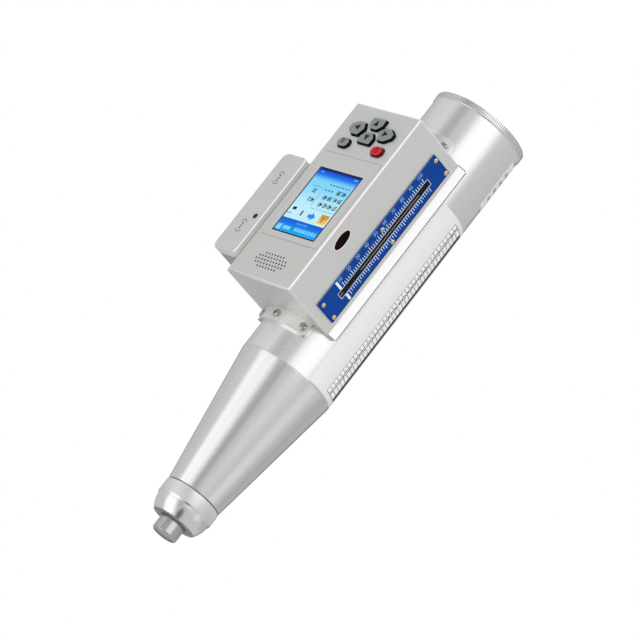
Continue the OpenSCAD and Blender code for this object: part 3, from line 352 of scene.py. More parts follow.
# Dark copies of the key rubbers: painted shade on the keys' side walls; the red one is also the print of the
# power sign.
key_wall_shade = finish("key_wall_shade", srgb(10, 14, 14), 0.6, 0.7, 0.0, 0.1, 2600, 0.3, specular=0.1)
key_red = finish("key_red", srgb(208, 14, 40), 0.4, 0.5, 0.0, 0.08, 2600, 0.3, specular=0.3)
key_red_shade_and_print = finish("key_red_shade_and_print", srgb(84, 4, 14), 0.5, 0.6, 0.0, 0.1, 2600, 0.3, specular=0.2)
board_green = finish("board_green", srgb(26, 92, 52), 0.35, 0.5, 0.0, 0.2, 900, 0.3)
plastic_black = finish("plastic_black", srgb(14, 14, 15), 0.4, 0.55, 0.0, 0.2, 2400, 0.3, specular=0.2)
rider_black = finish("rider_black", srgb(84, 82, 74), 0.5, 0.6, 0.0, 0.2, 2400, 0.3, specular=0.1)
felt_brown = finish("felt_brown", srgb(120, 98, 70), 0.85, 0.95, 0.0, 0.35, 3500, 0.9)
label_foil = finish("label_foil", srgb(228, 228, 226), 0.4, 0.48, 0.08, 0.02, 3000, 0.06)
label_cells = finish("label_cells", srgb(240, 240, 239), 0.45, 0.52, 0.0, 0.02, 3000, 0.06)
cell_wrap = finish("cell_wrap", srgb(60, 64, 70), 0.25, 0.4, 0.1, 0.1, 1500, 0.1)
lamp_red = finish("lamp_red", srgb(62, 4, 12), 0.2, 0.3, 0.0, 0.12, 900, 0.02, specular=0.15)
screen_body = lit_finish("screen_body", srgb(126, 216, 252), srgb(196, 240, 252), 84, 104)
screen_head = lit_finish("screen_head", srgb(0, 92, 216), srgb(10, 164, 248), 109.5, 118)
screen_foot = lit_finish("screen_foot", srgb(0, 104, 240), srgb(126, 216, 252), 79.6, 84.4)
screen_deep = lit_finish("screen_deep", srgb(0, 8, 128), srgb(0, 104, 240), 76.6, 79.6)
screen_block = lit_finish("screen_block", srgb(70, 176, 250), srgb(140, 226, 252), 110, 118)
screen_ink = lit_finish("screen_ink", srgb(4, 22, 46), srgb(10, 30, 60), 80, 110, 0.95)
screen_faint = lit_finish("screen_faint", srgb(60, 120, 156), srgb(70, 130, 170), 80, 110, 0.95)
screen_tile = lit_finish("screen_tile", srgb(206, 138, 48), srgb(250, 206, 110), 102, 109)
screen_tile_edge = lit_finish("screen_tile_edge", srgb(236, 236, 150), srgb(250, 250, 190), 102, 109)
screen_arrow = lit_finish("screen_arrow", srgb(10, 112, 232), srgb(40, 150, 250), 100, 109)

SLOT_FINISH = {
    "anodised_aluminium": silver_satin, "turned_steel": cap_ring_matte, "polished_steel": steel_polished,
    "dark_steel": steel_dark, "spring_steel": steel_spring, "zinc_steel": screw_steel,
    "brass": brass_turned, "case_grey": case_paint, "panel_grey": panel_film,
    "holder_grey": holder_plastic, "scale_blue": plate_blue, "clear_window": window_clear,
    "infrared_red": window_red, "screen": screen_glass, "key_rubber": key_rubber, "key_red": key_red,
    "board_green": board_green, "black_plastic": plastic_black, "rider_black": rider_black,
    "felt": felt_brown, "label_foil": label_foil, "cell_wrap": cell_wrap, "contact_brass": brass_turned,
    "lamp_red": lamp_red,
}


def dress_cad_nodes():
    for part in frame["record"]["subparts"]:
        mesh = nodes[part["node"]].data
        mesh.materials.clear()
        mesh.materials.append(SLOT_FINISH[part["material_slot"]])


dress_cad_nodes()


# Mesh tools

def spot(x, y, z):
    return Vector((x, y, z)) * MM


def link(thing):
    bpy.context.scene.collection.objects.link(thing)


def mesh_from(bm, name):
    mesh = bpy.data.meshes.new(name)
    bm.to_mesh(mesh)
    bm.free()
    return mesh


def evaluated_mesh(thing):
    return bpy.data.meshes.new_from_object(thing.evaluated_get(bpy.context.evaluated_depsgraph_get()))


def add_piece(name, bm, finishes, stands_for=(), sharp=40, body="housing"):
    bmesh.ops.remove_doubles(bm, verts=bm.verts, dist=1e-7)
    bmesh.ops.recalc_face_normals(bm, faces=bm.faces)
    return add_mesh(name, mesh_from(bm, name), finishes, stands_for, sharp, body)


def add_mesh(name, mesh, finishes, stands_for=(), sharp=40, body="housing"):
    picked = [face.material_index for face in mesh.polygons]
    mesh.materials.clear()
    for item in finishes:
        mesh.materials.append(item)
    mesh.polygons.foreach_set("material_index", picked)
    mesh.polygons.foreach_set("use_smooth", [True] * len(mesh.polygons))
    mesh.set_sharp_from_angle(angle=radians(sharp))
    piece = bpy.data.objects.new(name, mesh)
    link(piece)
    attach(piece, body)
    if stands_for:
        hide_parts(*stands_for)
    return piece


def turned(profile, steps=144):
    """A closed ring of (radius, z) points turned round the barrel's axis."""
    bm = bmesh.new()
    rings = []
    for r, z in profile:
        count = steps if r > 0 else 1
        rings.append([bm.verts.new(spot(r * cos(2 * pi * k / steps),
                                        r * sin(2 * pi * k / steps), z)) for k in range(count)])
    for a, b in zip(rings, rings[1:] + rings[:1]):
        if len(a) == 1 and len(b) == 1:
            continue
        for k in range(steps):
            n = (k + 1) % steps
            corners = [a[k % len(a)], a[n % len(a)], b[n % len(b)], b[k % len(b)]]
            bm.faces.new(list(dict.fromkeys(corners)))
    return bm


def merged_copy(node):
    bm = bmesh.new()
    bm.from_mesh(nodes[node].data)
    bmesh.ops.remove_doubles(bm, verts=bm.verts, dist=2e-6)
    bmesh.ops.dissolve_limit(bm, angle_limit=radians(0.4), verts=bm.verts, edges=bm.edges)
    return bm


def round_edges(bm, width, segments, where, pale=True):
    """Rounds the sharp edges that where() picks, and marks the new faces as pale edges, which take a painted
    highlight.
    """
    picked = []
    for e in bm.edges:
        if len(e.link_faces) == 2 and e.calc_face_angle(0) > radians(SHARP_EDGE):
            if where((e.verts[0].co + e.verts[1].co) / 2 / MM, e):
                picked.append(e)
    mark = bm.loops.layers.float.get("edge") or bm.loops.layers.float.new("edge")
    made = bmesh.ops.bevel(bm, geom=picked, offset=width * MM, offset_type="OFFSET", segments=segments,
                           profile=0.5, affect="EDGES", clamp_overlap=False)
    for face in made["faces"]:
        for loop in face.loops:
            loop[mark] = 1.0 if pale else 0.0


def rounded_part(name, node, material, width, segments=2, where=None, body="housing"):
    bm = merged_copy(node)
    round_edges(bm, width, segments, where or (lambda at, e: True))
    keep_flats_flat(add_piece(name, bm, [material], [node], 50, body))


def keep_flats_flat(piece):
    weigh = piece.modifiers.new("flat_faces", "WEIGHTED_NORMAL")
    weigh.keep_sharp = True
    weigh.weight = 100


def slab(bm, place, u0, v0, u1, v1, low, high, steps=1):
    """A thin closed plate on a surface: place(u, v, lift) gives a point of it."""
    layers = []
    for lift in (low, high):
        rows = []
        for v in (v0, v1):
            rows.append([bm.verts.new(place(u0 + (u1 - u0) * k / steps, v, lift)) for k in range(steps + 1)])
        layers.append(rows)
    (a, b), (c, d) = layers
    for k in range(steps):
        bm.faces.new((a[k], b[k], b[k + 1], a[k + 1]))
        bm.faces.new((c[k], c[k + 1], d[k + 1], d[k]))
        bm.faces.new((a[k], a[k + 1], c[k + 1], c[k]))
        bm.faces.new((b[k], d[k], d[k + 1], b[k + 1]))
    bm.faces.new((a[0], c[0], d[0], b[0]))
    bm.faces.new((a[-1], b[-1], d[-1], c[-1]))


def plate_shape(bm, place, points, low, high):
    """A thin closed plate with any outline."""
    under = [bm.verts.new(place(u, v, low)) for u, v in points]
    over = [bm.verts.new(place(u, v, high)) for u, v in points]
    bm.faces.new(under[::-1])
    bm.faces.new(over)
    for k in range(len(points)):
        n = (k + 1) % len(points)
        bm.faces.new((under[k], under[n], over[n], over[k]))


def ring_part(u, v, inner, outer, a, b):
    """A short piece of a flat ring round (u, v), from angle a to b, with radii along u and v."""
    return [(u + ru * cos(t), v + rv * sin(t))
            for (ru, rv), t in ((inner, a), (outer, a), (outer, b), (inner, b))]


def frame_line(bm, place, u0, v0, u1, v1, wide, low, high):
    slab(bm, place, u0, v0, u1, v0 + wide, low, high)
    slab(bm, place, u0, v1 - wide, u1, v1, low, high)
    slab(bm, place, u0, v0 + wide, u0 + wide, v1 - wide, low, high)
    slab(bm, place, u1 - wide, v0 + wide, u1, v1 - wide, low, high)


def plates(name, material, slot, place, low, high, *boxes):
    """Flat plates in one piece, each from (u0, v0) to (u1, v1)."""
    bm = bmesh.new()
    for box in boxes:
        slab(bm, place, *box, low, high)
    add_piece(name, bm, [material])


def border(name, material, place, u0, v0, u1, v1, wide, high=PRINT[1]):
    bm = bmesh.new()
    frame_line(bm, place, u0, v0, u1, v1, wide, PRINT[0], high)
    add_piece(name, bm, [material])


def figures(bm, place, words, tall, u, v, low, high, align="CENTER", heavy=0.0, narrow=1.0):
    """Figures of the given height, standing on v and set from u."""
    curve = bpy.data.curves.new("figures", "FONT")
    curve.body = words
    curve.align_x = align
    curve.size = tall / 0.7
    curve.extrude = 0.5
    curve.offset = heavy
    curve.resolution_u = 2
    made = bpy.data.objects.new("figures", curve)
    link(made)
    mesh = evaluated_mesh(made)
    bpy.data.objects.remove(made)
    bpy.data.curves.remove(curve)
    for vertex in mesh.vertices:
        x, y, z = vertex.co
        vertex.co = place(u + x * narrow, v + y, low if z < 0 else high)
    bm.from_mesh(mesh)
    bpy.data.meshes.remove(mesh)


def on_level(level):
    """A place() on a flat face that looks the way the display does: u is across the case, v along it."""
    return lambda u, v, lift: spot(u, level - lift, v)


on_display = on_level(PANEL_TOP)
on_screen = on_level(SCREEN_TOP)
on_lid = on_level(LID_TOP)


def on_plate(u, v, lift):
    """u reads from the nose to the rear, v towards the display, both from the slot's middle line."""
    return spot(PLATE_FACE - lift, SLOT_Y - v, -u)


def on_scale_side(depth):
    """A place() for the scale side: u is along the barrel, v is up or down the side."""
    return lambda u, v, lift: spot(depth - lift, v, u)


def on_barrel(u, v, lift):
    """u is an angle in degrees from the display side to the scale side, v is along the barrel."""
    r = BARREL_R + lift
    return spot(-r * sin(radians(u)), -r * cos(radians(u)), v)


def on_case_front(u, v, lift):
    return spot(u, v, CASE_FRONT + lift)


# Geometry Nodes for what repeats

def grow(tree, values, source=None):
    """Runs a tree of nodes and returns its plain mesh."""
    mesh = source or bpy.data.meshes.new("seed")
    seed = bpy.data.objects.new("seed", mesh)
    link(seed)
    maker = seed.modifiers.new("maker", "NODES")
    maker.node_group = tree
    for item in tree.interface.items_tree:
        if item.in_out == "INPUT" and item.name in values:
            maker[item.identifier] = values[item.name]
    grown = evaluated_mesh(seed)
    bpy.data.objects.remove(seed)
    bpy.data.meshes.remove(mesh)
    return grown


def close_tree(tree, out, instances, given):
    real = add_node(tree, "GeometryNodeRealizeInstances", Geometry=instances.outputs[0])
    done = add_node(tree, "GeometryNodeSetMaterial", Geometry=real.outputs[0], Material=given["Material"])
    feed(tree, out["Geometry"], done.outputs[0])
    return tree


def geometry_group(name, **inputs):
    """A Geometry Nodes tree with the named sizes between its geometry and its material."""
    sizes = {key.replace("_", " "): kind for key, kind in inputs.items()}
    return new_group(name, "GeometryNodeTree", {"Geometry": "Geometry", **sizes, "Material": "Material"},
                     {"Geometry": "Geometry"})


def knurl_tree():
    tree, given, out = geometry_group("knurl_band", Ribs="Int", Radius="Float", Rib_Depth="Float",
                                      Rib_Width="Float", Rib_Length="Float", Height="Float")
    ring = add_node(tree, "GeometryNodeMeshCircle", Vertices=given["Ribs"], Radius=given["Radius"])
    size = add_node(tree, "ShaderNodeCombineXYZ", X=given["Rib Depth"], Y=given["Rib Width"],
                    Z=given["Rib Length"])
    rib = add_node(tree, "GeometryNodeMeshCube", Size=size.outputs[0])
    place = add_node(tree, "GeometryNodeInputPosition")
    turn = add_node(tree, "FunctionNodeAlignRotationToVector", {"axis": "X", "pivot_axis": "Z"},
                    Vector=place.outputs[0])
    ribs = add_node(tree, "GeometryNodeInstanceOnPoints", Points=ring.outputs[0],
                    Instance=rib.outputs["Mesh"], Rotation=turn.outputs[0])
    lift = add_node(tree, "ShaderNodeCombineXYZ", Z=given["Height"])
    raised = add_node(tree, "GeometryNodeTransform", Geometry=ribs.outputs[0], Translation=lift.outputs[0])
    return close_tree(tree, out, raised, given)


def screw_tree():
    tree, given, out = geometry_group("screw_set", Head="Object")
    head = add_node(tree, "GeometryNodeObjectInfo", Object=given["Head"])
    facing = add_node(tree, "GeometryNodeInputNamedAttribute", {"data_type": "FLOAT_VECTOR"}, Name="outward")
    turn = add_node(tree, "FunctionNodeAlignRotationToVector", {"axis": "Z"}, Vector=facing.outputs[0])
    screws = add_node(tree, "GeometryNodeInstanceOnPoints", Points=given["Geometry"],
                      Instance=head.outputs["Geometry"], Rotation=turn.outputs[0])
    return close_tree(tree, out, screws, given)


def tick_tree():
    tree, given, out = geometry_group("tick_row", Ticks="Int", Spacing="Float", Tick_Width="Float",
                                      Tick_Length="Float", Tick_Height="Float")
    step = add_node(tree, "ShaderNodeCombineXYZ", X=given["Spacing"])
    row = add_node(tree, "GeometryNodeMeshLine", Count=given["Ticks"], Offset=step.outputs[0])
    size = add_node(tree, "ShaderNodeCombineXYZ", X=given["Tick Width"], Y=given["Tick Length"],
                    Z=given["Tick Height"])
    tick = add_node(tree, "GeometryNodeMeshCube", Size=size.outputs[0])
    ticks = add_node(tree, "GeometryNodeInstanceOnPoints", Points=row.outputs[0],
                     Instance=tick.outputs["Mesh"])
    return close_tree(tree, out, ticks, given)


KNURL = knurl_tree()
SCREWS = screw_tree()
TICKS = tick_tree()


def knurl(name, ribs, radius, depth, width, low, high, material):
    mesh = grow(KNURL, {"Ribs": ribs, "Radius": radius * MM, "Rib Depth": depth * MM,
                        "Rib Width": width * MM, "Rib Length": (high - low) * MM,
                        "Height": (low + high) / 2 * MM, "Material": material})
    add_mesh(name, mesh, [material], sharp=20)


def screw_head(radius, tall, shank, length):
    """A pan head with a cross recess, on its shank, pointing along +Z from its seat."""
    dome = [(0, 1), (0.5, 0.96), (0.78, 0.82), (0.94, 0.56), (1, 0.25), (0.98, 0)]
    profile = [(radius * r, tall * z) for r, z in dome] + [(shank, 0), (shank, -length), (0, -length)]
    bm = turned(profile, 28)
    bmesh.ops.recalc_face_normals(bm, faces=bm.faces)
    head = bpy.data.objects.new("screw_head", mesh_from(bm, "screw_head"))
    cross = bmesh.new()
    for wide, deep in ((radius * 1.25, radius * 0.24), (radius * 0.24, radius * 1.25)):
        bar = bmesh.ops.create_cube(cross, size=1.0)["verts"]
        bmesh.ops.scale(cross, vec=Vector((wide, deep, tall * 1.2)) * MM, verts=bar)
        bmesh.ops.translate(cross, vec=spot(0, 0, tall * 1.05), verts=bar)
    cutter = bpy.data.objects.new("screw_cross", mesh_from(cross, "screw_cross"))
    link(head)
    link(cutter)
    cut = head.modifiers.new("cross", "BOOLEAN")
    cut.object = cutter
    cut.operation = "DIFFERENCE"
    cut.use_self = True
    ready = evaluated_mesh(head)
    for item in (head, cutter):
        bpy.data.objects.remove(item)
    return bpy.data.objects.new("screw_pattern", ready)


def screws(name, node, places, head, material, slot):
    """Screws at (point, outward) pairs."""
    points = bpy.data.meshes.new("screw_points")
    points.from_pydata([spot(*at) for at, out in places], [], [])
    facing = points.attributes.new("outward", "FLOAT_VECTOR", "POINT")
    for k, (at, out) in enumerate(places):
        facing.data[k].vector = out
    link(head)
    mesh = grow(SCREWS, {"Head": head, "Material": material}, points)
    bpy.data.objects.remove(head)
    add_mesh(name, mesh, [material], [node], 35)


# Tube, nose and plunger

def from_axis(at):
    return hypot(at.x, at.y)


def barrel_and_nose():
    def at_ends(at, e):
        return (at.z < BARREL_REAR + 0.2 or at.z > BARREL_FRONT - 0.2) and from_axis(at) > 26

    def at_rims(at, e):
        return from_axis(at) > 15.2 and (abs(at.z - BARREL_FRONT) < 0.3 or abs(at.z - 249.7) < 0.3)

    rounded_part("barrel_tube", "barrel", silver_barrel, 0.2, 2, at_ends)
    rounded_part("nose_taper", "nose_cone", silver_satin, 0.35, 3, at_rims)
    seam = turned([(14.6, 249.6), (15.45, 249.6), (15.45, 250.2), (14.6, 250.2)])
    add_piece("nose_seam_ring", seam, [steel_dark])


def rear_knob():
    def at_flange(at, e):
        return from_axis(at) > 25 and 4.3 < at.z < 5.2

    rounded_part("rear_knob", "rear_cap", silver_collar, 0.2, 2, at_flange)
    # The ground under the ribs is a darker grey, painted shade between them.
    band = turned([(27.0, 1.3), (27.37, 1.3), (27.37, 4.5), (27.0, 4.5)], 180)
    add_piece("rear_knurl_ground", band, [knurl_groove_shade])
    knurl("rear_knurl", 150, 27.4, 0.3, 0.72, 1.2, 4.6, silver_barrel)


def nose_cap():
    start, sweep = 6, 34
    turns = [radians(start + sweep * k / 12) for k in range(13)]
    ogive = [(15.25 - 11.2 * (cos(turns[0]) - cos(turn)),
              258.75 + 13.4 * (sin(turn) - sin(turns[0]))) for turn in turns]
    ring = [(13.42, 250.1), (15.45, 250.1), (15.9, 250.55), (15.9, 257.7), (15.6, 258.25), (15.3, 258.3)]
    front = [(12.52, 266.4), (12.4, 266.5), (7.85, 266.5), (7.4, 266.1), (7.4, 262.2), (13.42, 262.2)]
    bm = turned(ring + ogive + front)
    for face in bm.faces:
        middle = face.calc_center_median() / MM
        r = from_axis(middle)
        polished = middle.z > 257.75 or middle.z < 250.5
        face.material_index = 2 if middle.z > 266.0 and r < 12.3 else 1 if polished and r > 7.5 else 0
    add_piece("nose_cap", bm, [cap_ring_matte, steel_polished, steel_shadow],
              ["front_cap"], 32)
    knurl("nose_cap_knurl", 130, 15.84, 0.32, 0.4, 251.2, 257.3, cap_ring_matte)


def striking_plunger():
    dome_r = 25
    dome = [(r, PLUNGER_TIP - (dome_r - sqrt(dome_r ** 2 - r * r))) for r in (0, 1.5, 3, 4.5, 5.6, 6.2)]
    profile = dome + [(6.45, 274.88), (7.1, 274.1), (7.1, 160.4), (9.7, 160.4), (10, 160.1), (10, 151.6),
                      (9.5, 151.1), (4.2, 151.1), (4.2, 236), (0, 236)]
    add_piece("plunger_rod", turned(profile, 96), [steel_plunger], ["plunger"], 32,
              "plunger_set")


# Instrument case

def saddle_collars():
    def outside(at, e):
        return from_axis(at) > 26.9 and (at.z < CASE_REAR or at.z > CASE_FRONT)

    rounded_part("saddle_collars", "mount_saddle", silver_collar, 0.14, 2, outside)
    places = []
    for z in (30.4, 152.2):
        for turn in (-36, 0, 36):
            out = Vector((-sin(radians(turn)), -cos(radians(turn)), 0))
            places.append(((out.x * 29.38, out.y * 29.38, z), out))
    screws("collar_screws", "saddle_screws", places, screw_head(2.3, 1.25, 1.2, 3.4), screw_steel,
           "zinc_steel")


def in_grille(at):
    return abs(at.x - GRILLE_X) < 14 and abs(at.z - GRILLE_Z) < 6.5


def on_skirt(at):
    return at.y > -14.7 and abs(at.x) > 25.5


def round_case(bm):
    def foot_corner(at, e):
        return at.y > -10.2 and (at.z < 34.6 or at.z > 148.0) and abs(at.x) > 25.9

    def long_bevel(at, e):
        return at.y < -50.5 and abs(at.x) > 24.5 and e.calc_length() > 50 * MM

    def outer_edge(at, e):
        if long_bevel(at, e):
            return False
        if at.y < CASE_TOP + 0.05:
            return not in_grille(at)
        long = e.calc_length() > 2.5 * MM
        return long and (abs(at.x) > 25.6 or at.z < 35.4 or at.z > 147.2)

    round_edges(bm, 1.3, 4, foot_corner, pale=False)
    round_edges(bm, 0.24, 2, long_bevel, pale=False)
    round_edges(bm, 0.1, 2, outer_edge)


def cut_skirt_rim(bm):
    """Splits the skirt along its foot and its two ends, for the painted shade line round it."""
    for across, place in (((0, 1, 0), (0, RIM_FOOT, 0)), ((0, 0, 1), (0, 0, RIM_REAR)),
                          ((0, 0, 1), (0, 0, RIM_FRONT))):
        cut = [face for face in bm.faces
               if on_skirt(face.calc_center_median() / MM) and abs(face.normal.x) > 0.5]
        cut += list({e for face in cut for e in face.edges}) + list({v for face in cut for v in face.verts})
        bmesh.ops.bisect_plane(bm, geom=cut, plane_co=Vector(place) * MM, plane_no=across, dist=1e-6)


def colour_case(bm):
    bm.normal_update()
    for face in bm.faces:
        at, n = face.calc_center_median() / MM, face.normal
        # The skirt's flare and the slanted bevels take the painted highlight.
        skirt = on_skirt(at) and 0.3 < abs(n.y) < 0.6
        # The skirt's rim and the walls of the grille holes take painted shade.
        rim = on_skirt(at) and abs(n.x) > 0.5 and (at.y > RIM_FOOT or at.z < RIM_REAR or at.z > RIM_FRONT)
        bevel = at.y < -50.6 and abs(n.z) < 0.1 and 0.55 < abs(n.x) < 0.83
        grille = in_grille(at) and -51.55 < at.y < -49
        face.material_index = 2 if grille or rim else 1 if skirt or bevel else 0


def case_shell():
    """The painted case: its slanted bevels and flared foot carry a painted highlight that makes them
    brighter than its flat faces, and painted shade runs round the skirt's rim and inside the grille holes.
    """
    bm = merged_copy("instrument_case")
    round_case(bm)
    cut_skirt_rim(bm)
    colour_case(bm)
    finishes = [case_paint, case_paint_highlight, case_painted_shade]
    piece = add_piece("case_shell", bm, finishes, ["instrument_case"], 50)
    keep_flats_flat(piece)
    plates("grille_cloth", plastic_black, "case_grey", on_level(CLOTH_TOP), 0.0, 0.05,
           (-13.0, 129.0, 15.0, 143.6))
    border("case_front_line", panel_line, on_case_front, -24.0, -50.1, 25.7, -31.5, 0.16)
    far = [((FAR_SIDE, -30.0, z), Vector((1, 0, 0))) for z in (40.6, 142.0)]
    screws("case_side_screws", "case_screws", far, screw_head(2.3, 1.2, 1.2, 6.5), screw_steel, "zinc_steel")


def display_face():
    rounded_part("display_film", "display_panel", panel_film, 0.06, 1)
    inset = 0.3
    side = end_of("display_panel", "x", 1) - inset
    rear, front = both_ends("display_panel", "z")
    border("display_border", panel_line, on_display, -side, rear + inset, side, front - inset,
           0.2)
    border("screen_border", print_black, on_display, -17.75, 76.15, 17.75, 118.65, 0.72)


def screen_rows():
    """Figures shown on the screen: words, height, left end, foot."""
    ink = bmesh.new()
    for words, tall, u, v in (("37 40 42 40", 2.5, -15.6, 96.2), ("39 41 38 40", 2.6, -15.8, 91.6),
                              ("40 38", 2.6, -15.0, 87.2), ("40.2", 2.4, 4.4, 94.8), ("25", 2.4, 7.6, 89.4)):
        figures(ink, on_screen, words, tall, u, v, *SCREEN_PRINT, "LEFT", 0.09, 0.86)
    figures(ink, on_screen, "1", 3.4, -13.2, 103.8, 0.12, 0.14, "LEFT", 0.06)
    blocks = [(11.8, 102.4, 14.6, 104.2), (5.2, 103.4, 6.3, 106.6)]
    for plate in blocks + [(u, 106.3, u + 0.6, 107.0) for u in (13.0, 14.4, 15.6)]:
        slab(ink, on_screen, *plate, *SCREEN_PRINT)
    add_piece("screen_figures", ink, [screen_ink])
    dashes = [(-15.2 + 2.5 * k, 84.5, -13.8 + 2.5 * k, 85.3) for k in range(7)]
    dashes += [(-4.4 + 2.6 * k, 88.0, -3.0 + 2.6 * k, 89.0) for k in range(3)]
    rules = [(5.4, 87.6, 12.8, 87.9), (3.6, 86.6, 3.8, 99.4), (-15.6, 100.6, 3.0, 100.8)]
    plates("screen_faint_marks", screen_faint, "screen", on_screen, *SCREEN_FAINT, *dashes, *rules)


def screen():
    def lit(name, material, high, *boxes):
        plates(name, material, "screen", on_screen, high - 0.03, high, *boxes)

    side, rear, foot, body, head, front = 16.95, 77.0, 79.6, 84.4, 109.6, 117.8
    plates("screen_pane", screen_glass, "screen", on_screen, -0.52, 0.0, (-17.05, 76.85, 17.05, 117.95))
    lit("screen_body", screen_body, 0.04, (-side, rear, side, front))
    lit("screen_head", screen_head, 0.07, (-side, head, side, front))
    lit("screen_foot", screen_foot, 0.07, (-side, foot, side, body))
    lit("screen_deep", screen_deep, 0.07, (-side, rear, side, foot))
    blocks = [(12.8, 113.8, 16.4, 117.2), (5.6, 114.2, 11.2, 116.2)]
    blocks += [(-15.6 + 2.3 * k, 113.8, -14.0 + 2.3 * k, 116.0) for k in range(8)]
    blocks += [(-5.0 + 1.5 * k, 111.0, -4.1 + 1.5 * k, 111.9) for k in range(6)]
    blocks += [(-16.0, 78.2, -12.6, 79.2), (12.4, 78.4, 14.4, 79.2)]
    lit("screen_blocks", screen_block, 0.1, *blocks)
    lit("screen_tile_edge", screen_tile_edge, 0.08, (-16.2, 102.2, -9.2, 108.9))
    lit("screen_tile", screen_tile, 0.11, (-15.7, 102.4, -9.4, 108.3))
    screen_rows()
    arrow = bmesh.new()
    plate_shape(arrow, on_screen, [(0.2, 104.3), (-2.4, 104.3), (-2.4, 102.9), (-5.8, 105.4), (-2.4, 107.9),
                                   (-2.4, 106.5), (0.2, 106.5)], 0.07, 0.12)
    add_piece("screen_arrow", arrow, [screen_arrow])


def top_loop(bm, highest):
    """The corners of a key's flat top, in order, with the top faces."""
    faces = [f for f in bm.faces if all(abs(v.co.y - highest) < 1e-6 for v in f.verts)]
    inside = set(faces)
    rim = [e for f in faces for e in f.edges if sum(g in inside for g in e.link_faces) == 1]
    after = {}
    for e in rim:
        for v in e.verts:
            after.setdefault(v, []).append(e)
    loop, edge = [rim[0].verts[0]], rim[0]
    while True:
        following = edge.other_vert(loop[-1])
        if following is loop[0]:
            return loop, faces
        loop.append(following)
        edge = next(e for e in after[following] if e is not edge)


def round_over(bm, highest):
    """Replaces a key's flat top by rings that round over to a low crown."""
    loop, faces = top_loop(bm, highest)
    outline = [v.co.copy() for v in loop]
    middle = sum(outline, Vector()) / len(outline)
    reach = sum((p - middle).length for p in outline) / len(outline)
    bmesh.ops.delete(bm, geom=faces, context="FACES_ONLY")
    for v in loop:
        v.co.y = highest + KEY_ROUND[0][1] * MM
    last = loop
    for inset, drop in KEY_ROUND[1:]:
        share = 1 - inset * MM / reach
        ring = [bm.verts.new(middle + (p - middle) * share) for p in outline]
        for v in ring:
            v.co.y = highest + drop * MM
        for k in range(len(ring)):
            n = (k + 1) % len(ring)
            bm.faces.new((last[k], last[n], ring[n], ring[k]))
        last = ring
    bm.faces.new(last)
    bmesh.ops.recalc_face_normals(bm, faces=bm.faces)


def crowned_key(name, node, body, top, wall, slot, marks, ink):
    """A rubber key with rounded edges and a low crown, and its sign."""
    bm = merged_copy(node)
    highest = min(v.co.y for v in bm.verts)
    round_over(bm, highest)
    for face in bm.faces:
        # Faces off the flat top take the wall material, painted shade on the key's sides.
        up = face.normal.y < -0.3 and face.calc_center_median().y < highest + 0.2 * MM
        face.material_index = 0 if up else 1
    add_piece(name, bm, [top, wall], [node], 40, body)
    sign = bmesh.new()
    flat = on_level(highest / MM + KEY_ROUND[-1][1])
    for mark in marks:
        plate_shape(sign, flat, mark, -0.05, 0.05)
    add_piece(name + "_mark", sign, [ink], body=body)


def arrow_mark(u, v, du, dv):
    """A small solid triangle pointing along (du, dv)."""
    return [(u + du * 2.2, v + dv * 2.2), (u - du * 1.4 - dv * 1.9, v - dv * 1.4 + du * 1.9),
            (u - du * 1.4 + dv * 1.9, v - dv * 1.4 - du * 1.9)]


def keys():
    grey = (key_rubber, key_wall_shade, "key_rubber")
    for side, u, v, du, dv in (("left", 11.4, 49.3, 1, 0), ("right", -11.2, 49.3, -1, 0),
                               ("front", -0.2, 53.8, 0, 1), ("rear", 0, 44.7, 0, -1)):
        crowned_key(f"{side}_key_cap", f"key_{side}", f"{side}_key", *grey, [arrow_mark(u, v, du, dv)],
                    print_black)
    lines = [[(12.9, v), (15.5, v), (15.5, v + 0.5), (12.9, v + 0.5)] for v in (57.9, 58.9, 59.9)]
    crowned_key("menu_key_cap", "key_menu", "menu_key", *grey, lines, print_black)
    ring = [ring_part(-13.8, 59.7, (1.0, 1.0), (1.5, 1.5), radians(t - 90), radians(t - 80))
            for t in range(30, 330, 10)]
    ring.append([(-14.05, 57.8), (-13.55, 57.8), (-13.55, 59.6), (-14.05, 59.6)])
    crowned_key("power_key_cap", "key_power", "power_key", key_red, key_red_shade_and_print, "key_red", ring,
                key_red_shade_and_print)


def scale():
    rounded_part("scale_face", "scale_plate", plate_blue, 0.12, 1, lambda at, e: at.x < -26.4)
    places = [((PLATE_FACE, y, z), Vector((-1, 0, 0))) for y in (-28.9, -19.1) for z in (43.2, 89.5, 139.7)]
    screws("scale_face_screws", "scale_plate_screws", places, screw_head(1.3, 0.75, 0.6, 2.5), screw_brass,
           "brass")
    tick_rows()
    lines = bmesh.new()
    frame_line(lines, on_plate, -130.2, -1.95, -53.0, 1.95, 0.22, *PRINT)
    slab(lines, on_plate, -127.5, 2.2, -126.0, 7.4, *PRINT)
    slab(lines, on_plate, -127.2, -6.0, -125.7, -2.2, *PRINT)
    add_piece("scale_print", lines, [print_white])
    pale = bmesh.new()
    for k in range(10):
        at = FIRST_TICK + 5 * TICK_STEP * k
        figures(pale, on_plate, str(10 * (k + 1)), 2.0, at, 5.6, *PRINT, heavy=0.05)
    add_piece("scale_figures", pale, [print_blue_pale])
    border("scale_border", plate_dark, on_plate, -142.1, -6.55, -41.7, 7.95, 0.4, 0.02)
    plates("scale_hairline", print_brass, "scale_blue", on_scale_side(SCALE_SIDE - 0.01), -0.02, 0.05,
           (62.0, -23.7, 112.0, -23.2), (127.0, -23.7, 129.7, -23.2))


